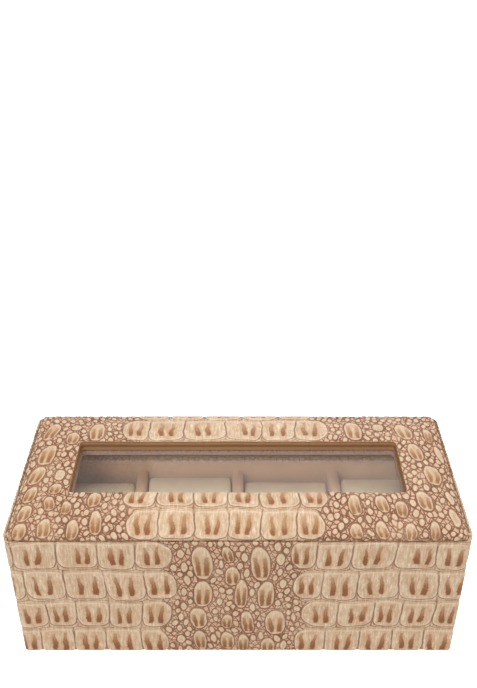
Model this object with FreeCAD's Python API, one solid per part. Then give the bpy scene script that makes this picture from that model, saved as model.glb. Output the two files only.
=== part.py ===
import FreeCAD, Part
import math
import os

# Watch box with a hinged window lid and a full-front drawer.
# Frame: X is the width, the front looks along -Y, Z is up.
# The origin is the bottom centre of the whole box.  Millimetres.

# Overall sizes
WIDTH = 266.0             # over the lid's skirts
DEPTH = 114.0             # drawer front's face to the lid's back face
RIM_HEIGHT = 94.0         # table to the top of the skirts
SKIRT_HEIGHT = 25.0       # lid's skirts, rim to seam
SEAM_GAP = 1.0            # open line between the lid and the case
SKIRT_PROUD = 1.4         # skirts stand out past the case on three sides

# Sheet materials
LEATHER = 1.0
SUEDE = 0.7
FELT = 0.8
FELT_INSET = 4.0

# Case
CASE_SIDE_BOARD = 4.0
CASE_BACK_BOARD = 5.0
BASE_BOARD = 4.0
CASE_CORNER = 4.0         # plan radius of the back corners, on the leather
PANEL_GAP = 0.5           # drawer front to the walls' front ends

# Drawer front
FRONT_BOARD = 4.0
FRONT_BOTTOM = 1.0        # table to the drawer front's lower edge
FRONT_TOP_GAP = 0.5       # drawer front to the padded panel above it
FRONT_CORNER = 2.5        # rounding of its upright edges
FRONT_EDGE = 0.8          # easing of its upper and lower edges

# Drawer box and its runners
DRAWER_SIDE_GAP = 0.6
DRAWER_BACK_GAP = 1.0
DRAWER_SIDE_BOARD = 3.5
DRAWER_BACK_BOARD = 4.0
DRAWER_FLOOR_BOARD = 3.0
DRAWER_RIM_DROP = 1.0     # drawer's rim below the case's rim
RUNNER_HEIGHT = 2.2
RUNNER_WIDTH = 10.0
RUNNER_FROM_SIDE = 8.0    # case wall to the runner
RUNNER_END = 3.5          # runner's ends short of the base board's ends
RUNNING_GAP = 0.3
STOP_WIDTH = 60.0
STOP_DEPTH = 4.0
STOP_HEIGHT = 1.9
STOP_FRONT_SET = 2.0      # base board's front edge to the stop

# Tray
DIVIDER_COUNT = 3
DIVIDER_THICKNESS = 7.5
DIVIDER_DROP = 35.0       # rim to the dividers' tops
END_BAY_NARROWER = 3.4    # outer bays are this much narrower
CUSHION_SIDE_GAP = 0.9
CUSHION_END_GAP = 3.5
CUSHION_DROP = 4.5        # dividers' tops to the cushions' crowns
CUSHION_LIFT = 0.3        # cushion's underside over the floor lining
CUSHION_CORNER = 7.0
CUSHION_WAIST = 1.2       # how far each side draws in between its corners

# Cushion: share of its height, and how far in from its fullest outline
CUSHION_FORM = ((0.0, 1.2), (0.03, 0.0), (0.68, 0.0), (0.86, 1.6), (0.95, 4.4), (1.0, 8.0))

# Lid
SKIRT_BOARD = 5.0
SKIRT_CORNER = 5.0
FRAME_BOARD = 4.0
FRAME_FRONT_GAP = 0.8     # frame's front edge to the drawer front's lining
PANEL_BOARD = 2.4
PANEL_REVEAL = 2.5        # skirt's top left bare beside the padded panel
PANEL_FRONT_SET = 0.7     # padded panel's front edge behind the drawer front's face
PANEL_CORNER = 5.0
BORDER_SIDE = 31.0        # padded border left and right of the window
BORDER_END = 31.6         # padded border before and behind the window
WINDOW_CORNER = 2.5
WINDOW_ROLL = 1.6         # rolled edge round the window
GLASS = 2.0
GLASS_LAP = 4.0           # glass under the frame on every side
GLASS_FIT = 0.3

# Padded panel: how high it stands at each distance in from its edge
PANEL_CROWN = (
    (0.0, 0.9), (1.1, 0.0), (2.6, 0.1), (4.0, 1.3), (5.1, 3.8),
    (6.1, 8.5), (7.0, 16.0), (7.4, 22.5), (6.9, 29.5),
)

# Window's rolled edge: drop below the panel's inner top and widening, as shares of the roll
WINDOW_EDGE = ((1.0, 0.0), (0.45, 0.16), (0.13, 0.5), (0.0, 1.0), (-1.0, 2.0))

# Hinges
HINGE_COUNT = 2
HINGE_SPACING = 150.0      # centre to centre
HINGE_LENGTH = 36.0
BARREL_RADIUS = 2.2
BARREL_PROUD = 2.0        # barrel past the lid's back face
PIN_RADIUS = 1.1
PIN_CLEARANCE = 0.06
KNUCKLE_GAP = 0.3
LEAF = 0.8
LEAF_GAP = 0.6            # between the two leaves
LEAF_REACH = 5.4          # barrel's axis to the leaf's inner edge
BARREL_NOTCH = 0.4        # free space round the barrel
SCREW_RADIUS = 0.6
SCREW_HEAD = 1.15
SCREW_LENGTH = 7.0
SCREW_SPACING = 24.0
SCREW_FIT = 0.05
SCREW_SIDES = 12          # screws this small are drawn with flat sides

# Free space past a face for tools that cut through it
CUT_MARGIN = 1.0

# Levels
z_felt = FELT
z_base = z_felt + BASE_BOARD
z_runner = z_base + RUNNER_HEIGHT
z_drawer = z_runner + RUNNING_GAP
z_floor = z_drawer + DRAWER_FLOOR_BOARD
z_tray = z_floor + SUEDE
z_skirt = RIM_HEIGHT - SKIRT_HEIGHT
z_case = z_skirt - SEAM_GAP
z_drawer_rim = z_case - DRAWER_RIM_DROP
z_divider = RIM_HEIGHT - DIVIDER_DROP
z_cushion = z_divider - CUSHION_DROP
z_front = RIM_HEIGHT - FRONT_TOP_GAP
z_frame = RIM_HEIGHT - FRAME_BOARD
z_hinge = z_case + SEAM_GAP / 2

# Depth stations, front to back
y_face = -(DEPTH + BARREL_PROUD) / 2
y_front_back = y_face + LEATHER + FRONT_BOARD
y_front_lined = y_front_back + SUEDE
y_wall_end = y_front_back + PANEL_GAP
y_lid_back = y_face + DEPTH
y_case_back = y_lid_back - SKIRT_PROUD
y_case_in = y_case_back - LEATHER - CASE_BACK_BOARD
y_drawer_back = y_case_in - DRAWER_BACK_GAP
y_drawer_in = y_drawer_back - DRAWER_BACK_BOARD
y_tray_back = y_drawer_in - SUEDE
y_lid_in = y_lid_back - LEATHER - SKIRT_BOARD
y_frame_front = y_front_lined + FRAME_FRONT_GAP
y_hinge = y_lid_back + BARREL_PROUD - BARREL_RADIUS
y_screw = y_hinge - (LEAF_REACH + BARREL_RADIUS + KNUCKLE_GAP) / 2

# Half widths
x_lid = WIDTH / 2
x_lid_in = x_lid - LEATHER - SKIRT_BOARD
x_case = x_lid - SKIRT_PROUD
x_case_in = x_case - LEATHER - CASE_SIDE_BOARD
x_drawer = x_case_in - DRAWER_SIDE_GAP
x_drawer_in = x_drawer - DRAWER_SIDE_BOARD
x_tray = x_drawer_in - SUEDE

# Padded panel and window
x_panel = x_lid - PANEL_REVEAL
y_panel_front = y_face + PANEL_FRONT_SET
y_panel_back = y_lid_back - PANEL_REVEAL
x_window = x_panel - BORDER_SIDE
y_window_front = y_panel_front + BORDER_END
y_window_back = y_panel_back - BORDER_END

# Bays
bay_count = DIVIDER_COUNT + 1
inner_bay = (2 * x_tray - DIVIDER_COUNT * DIVIDER_THICKNESS + 2 * END_BAY_NARROWER) / bay_count
end_bay = inner_bay - END_BAY_NARROWER


def bay_edges():
    """Left and right side of each bay."""
    edges = []
    left = -x_tray
    for index in range(bay_count):
        at_end = index in (0, bay_count - 1)
        right = left + (end_bay if at_end else inner_bay)
        edges.append((left, right))
        left = right + DIVIDER_THICKNESS
    return edges


def block(x0, x1, y0, y1, z0, z1):
    return Part.makeBox(x1 - x0, y1 - y0, z1 - z0, FreeCAD.Vector(x0, y0, z0))


def rounded_wire(x0, x1, y0, y1, radius, z):
    """Closed rectangle with four round corners, at height z."""
    reach = radius * (1 - 0.5 ** 0.5)
    edges = []
    corners = ((x1, y0, -1, 1), (x1, y1, -1, -1), (x0, y1, 1, -1), (x0, y0, 1, 1))
    ends = []
    for cx, cy, sx, sy in corners:
        along_x = FreeCAD.Vector(cx + sx * radius, cy, z)
        along_y = FreeCAD.Vector(cx, cy + sy * radius, z)
        middle = FreeCAD.Vector(cx + sx * reach, cy + sy * reach, z)
        first, last = (along_x, along_y) if sx * sy < 0 else (along_y, along_x)
        ends.append((first, middle, last))
    for index, (first, middle, last) in enumerate(ends):
        edges.append(Part.Arc(first, middle, last).toShape())
        edges.append(Part.LineSegment(last, ends[(index + 1) % 4][0]).toShape())
    return Part.Wire(edges)


def rounded_block(x0, x1, y0, y1, z0, z1, radius):
    face = Part.Face(rounded_wire(x0, x1, y0, y1, radius, z0))
    return face.extrude(FreeCAD.Vector(0, 0, z1 - z0))


def three_sided_wall(x_out, y_front, y_back, side, back, radius, z0, z1):
    """Left, back and right wall in one, open at the front, back corners round."""
    outer = rounded_block(-x_out, x_out, y_front - 2 * radius - CUT_MARGIN, y_back, z0, z1, radius)
    outer = outer.common(block(-x_out, x_out, y_front, y_back, z0, z1))
    return outer.cut(block(side - x_out, x_out - side, y_front - CUT_MARGIN, y_back - back,
                           z0 - CUT_MARGIN, z1 + CUT_MARGIN))


def rod_x(x0, x1, y, z, radius):
    return Part.makeCylinder(radius, x1 - x0, FreeCAD.Vector(x0, y, z), FreeCAD.Vector(1, 0, 0))


def export(name, shape):
    shape.exportStep("parts/" + name + ".step")


def hinge_centres():
    step = HINGE_SPACING / (HINGE_COUNT - 1)
    return [-HINGE_SPACING / 2 + index * step for index in range(HINGE_COUNT)]


def barrel_notches():
    """Free space that the walls leave round the hinge barrels."""
    reach = HINGE_LENGTH / 2 + BARREL_NOTCH
    radius = BARREL_RADIUS + BARREL_NOTCH
    rods = [rod_x(x - reach, x + reach, y_hinge, z_hinge, radius) for x in hinge_centres()]
    return Part.makeCompound(rods)


def leaf_recesses(z0, z1):
    """Shallow pockets that take the leaves."""
    reach = HINGE_LENGTH / 2
    pockets = []
    for x in hinge_centres():
        pockets.append(block(x - reach, x + reach, y_hinge - LEAF_REACH, y_hinge + LEAF_REACH, z0, z1))
    return Part.makeCompound(pockets)


def screw_outline(x, z, radius):
    """Level cross-section of a screw."""
    points = []
    for side in range(SCREW_SIDES + 1):
        angle = 2 * math.pi * (side % SCREW_SIDES) / SCREW_SIDES
        points.append(FreeCAD.Vector(x + radius * math.cos(angle), y_screw + radius * math.sin(angle), z))
    return Part.makePolygon(points)


def screw(x, up, fit=0.0):
    """Countersunk screw, its head flush with the leaf's free side."""
    sign = 1 if up else -1
    top = z_hinge + sign * LEAF_GAP / 2
    head = screw_outline(x, top, SCREW_HEAD + fit)
    neck = screw_outline(x, top + sign * LEAF, SCREW_RADIUS + fit)
    tip = screw_outline(x, top + sign * (SCREW_LENGTH + fit), SCREW_RADIUS + fit)
    return Part.makeLoft([head, neck, tip], True, True)


def screws(up, fit=0.0):
    solids = []
    for x in hinge_centres():
        for side in (-1, 1):
            solids.append(screw(x + side * SCREW_SPACING / 2, up, fit))
    return solids


def case_parts():
    outer = three_sided_wall(x_case, y_wall_end, y_case_back, x_case - x_case_in, y_case_back - y_case_in,
                             CASE_CORNER, z_felt, z_case)
    core = three_sided_wall(x_case - LEATHER, y_wall_end + LEATHER, y_case_back - LEATHER,
                            CASE_SIDE_BOARD, CASE_BACK_BOARD, CASE_CORNER - LEATHER,
                            z_felt, z_case - LEATHER)
    cutters = [barrel_notches(), leaf_recesses(z_hinge - LEAF_GAP / 2 - LEAF, z_hinge + CUT_MARGIN)]
    cutters.extend(screws(False, SCREW_FIT))
    outer_cut = outer.cut(cutters)
    core_cut = core.cut(cutters)
    export("case_leather", outer_cut.cut(core))
    everything = (y_face, y_hinge + DEPTH, 0, RIM_HEIGHT)
    export("case_left_board", core_cut.common(block(-x_lid, -x_case_in, *everything)))
    export("case_right_board", core_cut.common(block(x_case_in, x_lid, *everything)))
    export("case_back_board", core_cut.common(block(-x_case_in, x_case_in, *everything)))
    export("base_board", block(-x_case_in, x_case_in, y_wall_end + LEATHER, y_case_in, z_felt, z_base))
    export("base_felt", rounded_block(FELT_INSET - x_case, x_case - FELT_INSET,
                                      y_wall_end + FELT_INSET, y_case_back - FELT_INSET,
                                      0, z_felt, CASE_CORNER))


def runner_parts():
    y0 = y_wall_end + LEATHER + RUNNER_END
    y1 = y_case_in - RUNNER_END
    strips = []
    for side in (-1, 1):
        inner = side * (x_case_in - RUNNER_FROM_SIDE - RUNNER_WIDTH)
        outer = side * (x_case_in - RUNNER_FROM_SIDE)
        strips.append(block(min(inner, outer), max(inner, outer), y0, y1, z_base, z_runner))
    export("drawer_runners", Part.makeCompound(strips))
    catch_front = y_drawer_in - STOP_DEPTH
    stop_front = y_wall_end + LEATHER + STOP_FRONT_SET
    half = STOP_WIDTH / 2
    export("drawer_stop", block(-half, half, stop_front, stop_front + STOP_DEPTH, z_base, z_base + STOP_HEIGHT))
    export("drawer_catch", block(-half, half, catch_front, y_drawer_in, z_drawer - STOP_HEIGHT, z_drawer))


def front_uprights(shape, y):
    """Upright edges that lie on the plane at y."""
    return [e for e in shape.Edges if e.BoundBox.ZLength > 1 and e.BoundBox.XLength < 1 and
            abs(e.BoundBox.YMax - y) < 0.01]


def drawer_front_parts():
    outer = block(-x_case, x_case, y_face, y_front_back, FRONT_BOTTOM, z_front)
    outer = outer.makeFillet(FRONT_CORNER, front_uprights(outer, y_face))
    level = []
    for edge in outer.Edges:
        box = edge.BoundBox
        on_end = abs(box.ZMin - z_front) < 0.01 or abs(box.ZMax - FRONT_BOTTOM) < 0.01
        if on_end and box.ZLength < 0.01 and box.YMin < y_front_back - 0.01:
            level.append(edge)
    outer = outer.makeChamfer(FRONT_EDGE, level)
    board = block(LEATHER - x_case, x_case - LEATHER, y_face + LEATHER, y_front_back,
                  FRONT_BOTTOM + LEATHER, z_front - LEATHER)
    board = board.makeFillet(FRONT_CORNER - LEATHER, front_uprights(board, y_face + LEATHER))
    export("drawer_front_board", board)
    export("drawer_front_leather", outer.cut(board))
    export("drawer_front_lining", block(-x_drawer_in, x_drawer_in, y_front_back, y_front_lined,
                                        z_floor, z_front - LEATHER))


def drawer_box_parts():
    side = (y_front_back, y_drawer_back, z_drawer, z_drawer_rim - LEATHER)
    export("drawer_left_board", block(-x_drawer, -x_drawer_in, *side))
    export("drawer_right_board", block(x_drawer_in, x_drawer, *side))
    export("drawer_back_board", block(-x_drawer_in, x_drawer_in, y_drawer_in, y_drawer_back,
                                      z_drawer, z_drawer_rim - LEATHER))
    export("drawer_floor", block(-x_drawer_in, x_drawer_in, y_front_back, y_drawer_in, z_drawer, z_floor))
    export("tray_floor_lining", block(-x_tray, x_tray, y_front_lined, y_tray_back, z_floor, z_tray))
    lining = block(-x_drawer_in, x_drawer_in, y_front_lined, y_drawer_in, z_floor, z_drawer_rim - LEATHER)
    hollow = block(-x_tray, x_tray, y_front_lined - CUT_MARGIN, y_tray_back, z_floor - CUT_MARGIN, z_drawer_rim)
    export("tray_wall_lining", lining.cut(hollow))
    rim = block(-x_drawer, x_drawer, y_front_lined, y_drawer_back, z_drawer_rim - LEATHER, z_drawer_rim)
    export("tray_rim_leather", rim.cut(hollow))


def divider_parts():
    radius = DIVIDER_THICKNESS / 2
    for index in range(DIVIDER_COUNT):
        x0 = bay_edges()[index][1]
        x1 = x0 + DIVIDER_THICKNESS
        body = block(x0, x1, y_front_lined, y_tray_back, z_tray, z_divider - radius)
        top = Part.makeCylinder(radius, y_tray_back - y_front_lined,
                                FreeCAD.Vector(x0 + radius, y_front_lined, z_divider - radius),
                                FreeCAD.Vector(0, 1, 0))
        export("divider_%d" % (index + 1), body.fuse(top).removeSplitter())


def cushion_wire(x, y0, y1, half, inset, z):
    """Cushion's outline: round corners and sides that draw in between them."""
    left = x - half + inset
    right = x + half - inset
    front = y0 + inset
    back = y1 - inset
    radius = CUSHION_CORNER
    reach = radius * (1 - 0.5 ** 0.5)
    waist = CUSHION_WAIST
    middle_y = (front + back) / 2
    corners = (
        ((right - radius, front), (right - reach, front + reach), (right, front + radius)),
        ((right, back - radius), (right - reach, back - reach), (right - radius, back)),
        ((left + radius, back), (left + reach, back - reach), (left, back - radius)),
        ((left, front + radius), (left + reach, front + reach), (left + radius, front)),
    )
    draws = ((right - waist, middle_y), (x, back - waist), (left + waist, middle_y), (x, front + waist))
    edges = []
    for index in range(4):
        points = [FreeCAD.Vector(px, py, z) for px, py in corners[index]]
        edges.append(Part.Arc(*points).toShape())
        following = FreeCAD.Vector(corners[(index + 1) % 4][0][0], corners[(index + 1) % 4][0][1], z)
        edges.append(Part.Arc(points[2], FreeCAD.Vector(draws[index][0], draws[index][1], z), following).toShape())
    return Part.Wire(edges)


def cushion_parts():
    half = end_bay / 2 - CUSHION_SIDE_GAP
    y0 = y_front_lined + CUSHION_END_GAP
    y1 = y_tray_back - CUSHION_END_GAP
    z0 = z_tray + CUSHION_LIFT
    for index, (left, right) in enumerate(bay_edges()):
        middle = (left + right) / 2
        wires = []
        for share, inset in CUSHION_FORM:
            wires.append(cushion_wire(middle, y0, y1, half, inset, z0 + share * (z_cushion - z0)))
        export("cushion_%d" % (index + 1), Part.makeLoft(wires, True, True))


def lid_skirt_parts():
    side = x_lid - x_lid_in
    back = y_lid_back - y_lid_in
    outer = three_sided_wall(x_lid, y_wall_end, y_lid_back, side, back, SKIRT_CORNER, z_skirt, RIM_HEIGHT)
    core = three_sided_wall(x_lid - LEATHER, y_wall_end + LEATHER, y_lid_back - LEATHER,
                            SKIRT_BOARD, SKIRT_BOARD, SKIRT_CORNER - LEATHER,
                            z_skirt + LEATHER, RIM_HEIGHT - LEATHER)
    cutters = [barrel_notches(), leaf_recesses(z_hinge - CUT_MARGIN, z_hinge + LEAF_GAP / 2 + LEAF)]
    cutters.extend(screws(True, SCREW_FIT))
    outer_cut = outer.cut(cutters)
    core_cut = core.cut(cutters)
    export("lid_skirt_leather", outer_cut.cut(core))
    everything = (y_face, y_hinge + DEPTH, 0, RIM_HEIGHT)
    export("lid_left_board", core_cut.common(block(-x_lid, -x_lid_in, *everything)))
    export("lid_right_board", core_cut.common(block(x_lid_in, x_lid, *everything)))
    export("lid_back_board", core_cut.common(block(-x_lid_in, x_lid_in, *everything)))


def window_block(grow, z0, z1, radius):
    return rounded_block(-x_window - grow, x_window + grow, y_window_front - grow, y_window_back + grow,
                         z0, z1, radius)


def lid_frame_parts():
    frame = block(-x_lid_in, x_lid_in, y_frame_front, y_lid_in, z_frame, RIM_HEIGHT)
    frame = frame.cut(window_block(0, z_frame - CUT_MARGIN, RIM_HEIGHT + CUT_MARGIN, WINDOW_CORNER))
    frame = frame.cut(window_block(GLASS_LAP, RIM_HEIGHT - GLASS, RIM_HEIGHT + CUT_MARGIN, WINDOW_CORNER))
    export("lid_frame_board", frame)
    export("window_glass", window_block(GLASS_LAP - GLASS_FIT, RIM_HEIGHT - GLASS, RIM_HEIGHT, WINDOW_CORNER))
    low = z_skirt + LEATHER
    lining = block(-x_lid_in, x_lid_in, y_frame_front, y_lid_in, low, z_frame)
    lining = lining.cut(block(SUEDE - x_lid_in, x_lid_in - SUEDE, y_frame_front - CUT_MARGIN,
                              y_lid_in - SUEDE, low - CUT_MARGIN, z_frame - SUEDE))
    lining = lining.cut(window_block(0, z_frame - 2 * SUEDE, z_frame + CUT_MARGIN, WINDOW_CORNER))
    export("lid_lining", lining)


def crown(skin):
    """Padded panel's outer form, or the form a skin's thickness inside it."""
    wires = []
    for height, inset in PANEL_CROWN:
        move = inset + skin
        z = RIM_HEIGHT + height - (skin if height > 0 else 0)
        if skin and 0 < height <= 2 * skin:
            continue
        wires.append(rounded_wire(move - x_panel, x_panel - move, y_panel_front + move,
                                  y_panel_back - move, PANEL_CORNER - skin, z))
    return Part.makeLoft(wires, True, True)


def window_cutter():
    """Straight window hole whose upper edge rolls outwards."""
    top = RIM_HEIGHT + PANEL_CROWN[-1][0]
    levels = [(0.0, 0.0)]
    levels.extend((top - drop * WINDOW_ROLL, grow * WINDOW_ROLL) for drop, grow in WINDOW_EDGE)
    wires = []
    for z, grow in levels:
        wires.append(rounded_wire(-x_window - grow, x_window + grow, y_window_front - grow,
                                  y_window_back + grow, WINDOW_CORNER + grow, z))
    return Part.makeLoft(wires, True, True)


def padded_panel_parts():
    inner = crown(LEATHER).cut(window_block(LEATHER, 0, 2 * RIM_HEIGHT, WINDOW_CORNER + LEATHER))
    outer = crown(0).cut(window_cutter())
    z_board = RIM_HEIGHT + PANEL_BOARD
    slab = block(-x_lid, x_lid, y_face, y_lid_back, RIM_HEIGHT - CUT_MARGIN, z_board)
    export("panel_board", inner.common(slab))
    export("panel_padding", inner.cut(slab).common(outer))
    export("panel_leather", outer.cut(inner))


def leaf(up):
    """One side of each hinge: a plate and the knuckles that belong to it."""
    sign = 1 if up else -1
    half = HINGE_LENGTH / 2
    knuckle = HINGE_LENGTH / 3
    solids = []
    low = z_hinge + sign * LEAF_GAP / 2
    high = low + sign * LEAF
    z0 = min(low, high)
    z1 = max(low, high)
    spans = ((-knuckle / 2, knuckle / 2),) if up else ((-half, -knuckle / 2), (knuckle / 2, half))
    others = ((-half, -knuckle / 2), (knuckle / 2, half)) if up else ((-knuckle / 2, knuckle / 2),)
    free = BARREL_RADIUS + KNUCKLE_GAP
    bore = PIN_RADIUS + PIN_CLEARANCE
    for x in hinge_centres():
        shape = block(x - half, x + half, y_hinge - LEAF_REACH, y_hinge, z0, z1)
        for start, end in others:
            shape = shape.cut(rod_x(x + start - KNUCKLE_GAP, x + end + KNUCKLE_GAP, y_hinge, z_hinge, free))
        for start, end in spans:
            a = x + start + (KNUCKLE_GAP / 2 if start > -half else 0)
            b = x + end - (KNUCKLE_GAP / 2 if end < half else 0)
            shape = shape.fuse(rod_x(a, b, y_hinge, z_hinge, BARREL_RADIUS))
        shape = shape.cut(rod_x(x - half - CUT_MARGIN, x + half + CUT_MARGIN, y_hinge, z_hinge, bore))
        solids.append(shape.removeSplitter())
    compound = Part.makeCompound(solids)
    return compound.cut(screws(up, SCREW_FIT))


def hinge_parts():
    export("hinge_case_leaves", leaf(False))
    export("hinge_lid_leaves", leaf(True))
    half = HINGE_LENGTH / 2
    pins = [rod_x(x - half, x + half, y_hinge, z_hinge, PIN_RADIUS) for x in hinge_centres()]
    export("hinge_pins", Part.makeCompound(pins))
    export("hinge_case_screws", Part.makeCompound(screws(False)))
    export("hinge_lid_screws", Part.makeCompound(screws(True)))


os.makedirs("parts", exist_ok=True)
case_parts()
runner_parts()
drawer_front_parts()
drawer_box_parts()
divider_parts()
cushion_parts()
lid_skirt_parts()
lid_frame_parts()
padded_panel_parts()
hinge_parts()
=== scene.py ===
import math
from collections import namedtuple

import bmesh
import bpy
import numpy as np
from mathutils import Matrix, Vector


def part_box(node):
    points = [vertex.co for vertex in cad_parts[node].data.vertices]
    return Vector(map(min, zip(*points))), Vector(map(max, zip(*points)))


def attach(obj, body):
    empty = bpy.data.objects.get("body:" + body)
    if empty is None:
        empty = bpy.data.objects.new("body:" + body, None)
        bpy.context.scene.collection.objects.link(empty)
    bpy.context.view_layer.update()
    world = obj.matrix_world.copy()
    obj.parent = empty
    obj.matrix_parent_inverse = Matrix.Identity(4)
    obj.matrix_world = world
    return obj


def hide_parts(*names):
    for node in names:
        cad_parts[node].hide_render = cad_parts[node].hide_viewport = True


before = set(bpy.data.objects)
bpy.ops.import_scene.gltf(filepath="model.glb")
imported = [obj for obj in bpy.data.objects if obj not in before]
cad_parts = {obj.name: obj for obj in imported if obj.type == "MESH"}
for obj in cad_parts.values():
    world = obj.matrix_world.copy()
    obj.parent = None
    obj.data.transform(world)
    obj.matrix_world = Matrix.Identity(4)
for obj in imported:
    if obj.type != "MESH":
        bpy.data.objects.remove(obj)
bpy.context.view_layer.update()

bl_info = {
    "name": "Watch box with drawer",
    "version": (1, 0, 0),
    "blender": (4, 5, 0),
    "location": "3D View > Sidebar > Watch box",
    "description": "Dresses the watch box in embossed hide, suede, glass and brass",
    "category": "Add Mesh",
}

MM = 0.001


def span(node):
    """Lowest and highest corner of a CAD node, in millimetres."""
    low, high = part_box(node)
    return [value / MM for value in low], [value / MM for value in high]


# Places that the frame gives, in millimetres
FRONT_LOW, FRONT_HIGH = span("drawer_front_leather")
SKIRT_LOW, SKIRT_HIGH = span("lid_skirt_leather")
CASE_LOW, CASE_HIGH = span("case_leather")
PANEL_LOW, PANEL_HIGH = span("panel_leather")
GLASS_LOW, GLASS_HIGH = span("window_glass")
RIM_LOW, RIM_HIGH = span("tray_rim_leather")

# What the frame's boxes don't give
GLASS_PAST_WINDOW = 3.7
WALL = 6.0                # lid's wall with its leather
CASE_WALL = 5.0           # case's side wall with its leather
CASE_BACK_WALL = 6.0

RELIEF = bpy.props.FloatProperty


def srgb(red, green, blue):
    """Linear colour of an sRGB colour given from 0 to 255."""
    out = []
    for part in (red, green, blue):
        share = part / 255
        out.append(share / 12.92 if share <= 0.04045 else ((share + 0.055) / 1.055) ** 2.4)
    return (*out, 1.0)


class WATCHBOX_PG_hide(bpy.types.PropertyGroup):
    """Embossed hide on the box's outside"""
    spacing: bpy.props.FloatProperty(
        name="Spacing", description="Distance between the skin's points, in millimetres",
        default=0.57, min=0.4, max=3.0)
    relief: bpy.props.FloatProperty(
        name="Relief", description="Depth of the grooves between scales, in millimetres",
        default=0.5, min=0.0, max=1.0)
    grain: bpy.props.FloatProperty(
        name="Grain", description="Strength of the fine grain", default=0.35, min=0.0, max=1.0)
    cream: bpy.props.FloatVectorProperty(
        name="Cream", description="Colour of the raised scales", subtype="COLOR", size=4,
        default=srgb(222, 197, 165), min=0.0, max=1.0)
    buff: bpy.props.FloatVectorProperty(
        name="Buff", description="Colour of the scales' darker patches", subtype="COLOR", size=4,
        default=srgb(204, 170, 136), min=0.0, max=1.0)
    stain: bpy.props.FloatVectorProperty(
        name="Stain", description="Colour of the paired marks", subtype="COLOR", size=4,
        default=srgb(152, 94, 50), min=0.0, max=1.0)
    line: bpy.props.FloatVectorProperty(
        name="Line", description="Colour of the creases", subtype="COLOR", size=4,
        default=srgb(114, 66, 40), min=0.0, max=1.0)
    web: bpy.props.FloatVectorProperty(
        name="Web", description="Colour between the small scales", subtype="COLOR", size=4,
        default=srgb(190, 140, 106), min=0.0, max=1.0)


class WATCHBOX_PG_inside(bpy.types.PropertyGroup):
    """Linings, cushions and fittings"""
    suede: bpy.props.FloatVectorProperty(
        name="Suede", description="Colour of the linings", subtype="COLOR", size=4,
        default=srgb(228, 190, 152), min=0.0, max=1.0)
    velvet: bpy.props.FloatVectorProperty(
        name="Velvet", description="Colour of the cushions", subtype="COLOR", size=4,
        default=srgb(250, 228, 194), min=0.0, max=1.0)
    brass: bpy.props.FloatVectorProperty(
        name="Brass", description="Colour of the hinges", subtype="COLOR", size=4,
        default=srgb(190, 160, 106), min=0.0, max=1.0)
    board: bpy.props.FloatVectorProperty(
        name="Board", description="Colour of the wrapped boards", subtype="COLOR", size=4,
        default=srgb(150, 118, 90), min=0.0, max=1.0)
    felt: bpy.props.FloatVectorProperty(
        name="Felt", description="Colour of the felt under the base", subtype="COLOR", size=4,
        default=srgb(96, 72, 54), min=0.0, max=1.0)


class WATCHBOX_PG_studio(bpy.types.PropertyGroup):
    """Camera and light"""
    camera_y: bpy.props.FloatProperty(
        name="Camera Y", description="Camera's place before the box", subtype="DISTANCE",
        default=-0.4025)
    camera_z: bpy.props.FloatProperty(
        name="Camera Z", description="Camera's height", subtype="DISTANCE", default=0.4465)
    pitch: bpy.props.FloatProperty(
        name="Pitch", description="How far the camera looks down", subtype="ANGLE",
        default=math.radians(32.68))
    lens: bpy.props.FloatProperty(
        name="Lens", description="Focal length in millimetres", default=64.84, min=10.0, max=200.0)
    sky: bpy.props.FloatProperty(
        name="Sky", description="Strength of the all-round light", default=0.24, min=0.0, max=4.0)
    key: bpy.props.FloatProperty(
        name="Key", description="Power of the soft box up in front of the box", default=11.1, min=0.0, max=200.0)
    top: bpy.props.FloatProperty(
        name="Top", description="Power of the soft box overhead", default=16.6, min=0.0, max=200.0)
    back: bpy.props.FloatProperty(
        name="Back", description="Power of the soft box behind the box", default=12.0, min=0.0, max=200.0)


# Node trees
def new_material(name):
    material = bpy.data.materials.new(name)
    material.use_nodes = True
    material.node_tree.nodes.clear()
    return material


def add(tree, kind, values=None, **settings):
    """A node with its settings, and its inputs set to a value or wired to a socket."""
    node = tree.nodes.new(kind)
    for key, value in settings.items():
        setattr(node, key, value)
    for key, value in (values or {}).items():
        socket = node.inputs[key]
        if isinstance(value, bpy.types.NodeSocket):
            tree.links.new(value, socket)
        else:
            socket.default_value = value
    return node


def math_node(tree, operation, first, second=0.0, clamp=False):
    node = add(tree, "ShaderNodeMath", operation=operation, use_clamp=clamp)
    for index, value in enumerate((first, second)):
        if isinstance(value, bpy.types.NodeSocket):
            tree.links.new(value, node.inputs[index])
        else:
            node.inputs[index].default_value = value
    return node.outputs[0]


def blend_colour(tree, share, first, second, kind="MIX"):
    node = add(tree, "ShaderNodeMix", data_type="RGBA", blend_type=kind, clamp_factor=True)
    for index, value in ((0, share), (6, first), (7, second)):
        if isinstance(value, bpy.types.NodeSocket):
            tree.links.new(value, node.inputs[index])
        else:
            node.inputs[index].default_value = value
    return node.outputs[2]


def ramp(tree, value, low, high, out_low=0.0, out_high=1.0):
    node = add(tree, "ShaderNodeMapRange", {0: value, 1: low, 2: high, 3: out_low, 4: out_high},
               interpolation_type="SMOOTHSTEP")
    return node.outputs[0]


def noise(tree, where, scale, detail=3.0, roughness=0.55, distortion=0.0):
    """Noise whose scale is in cells per metre."""
    node = add(tree, "ShaderNodeTexNoise",
               {"Vector": where, "Scale": scale, "Detail": detail, "Roughness": roughness,
                "Distortion": distortion})
    return node.outputs["Fac"]


def object_place(tree):
    return add(tree, "ShaderNodeTexCoord").outputs["Object"]


def bump(tree, height, strength, distance, normal=None):
    values = {"Strength": strength, "Distance": distance, "Height": height}
    if normal is not None:
        values["Normal"] = normal
    return add(tree, "ShaderNodeBump", values).outputs["Normal"]


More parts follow.
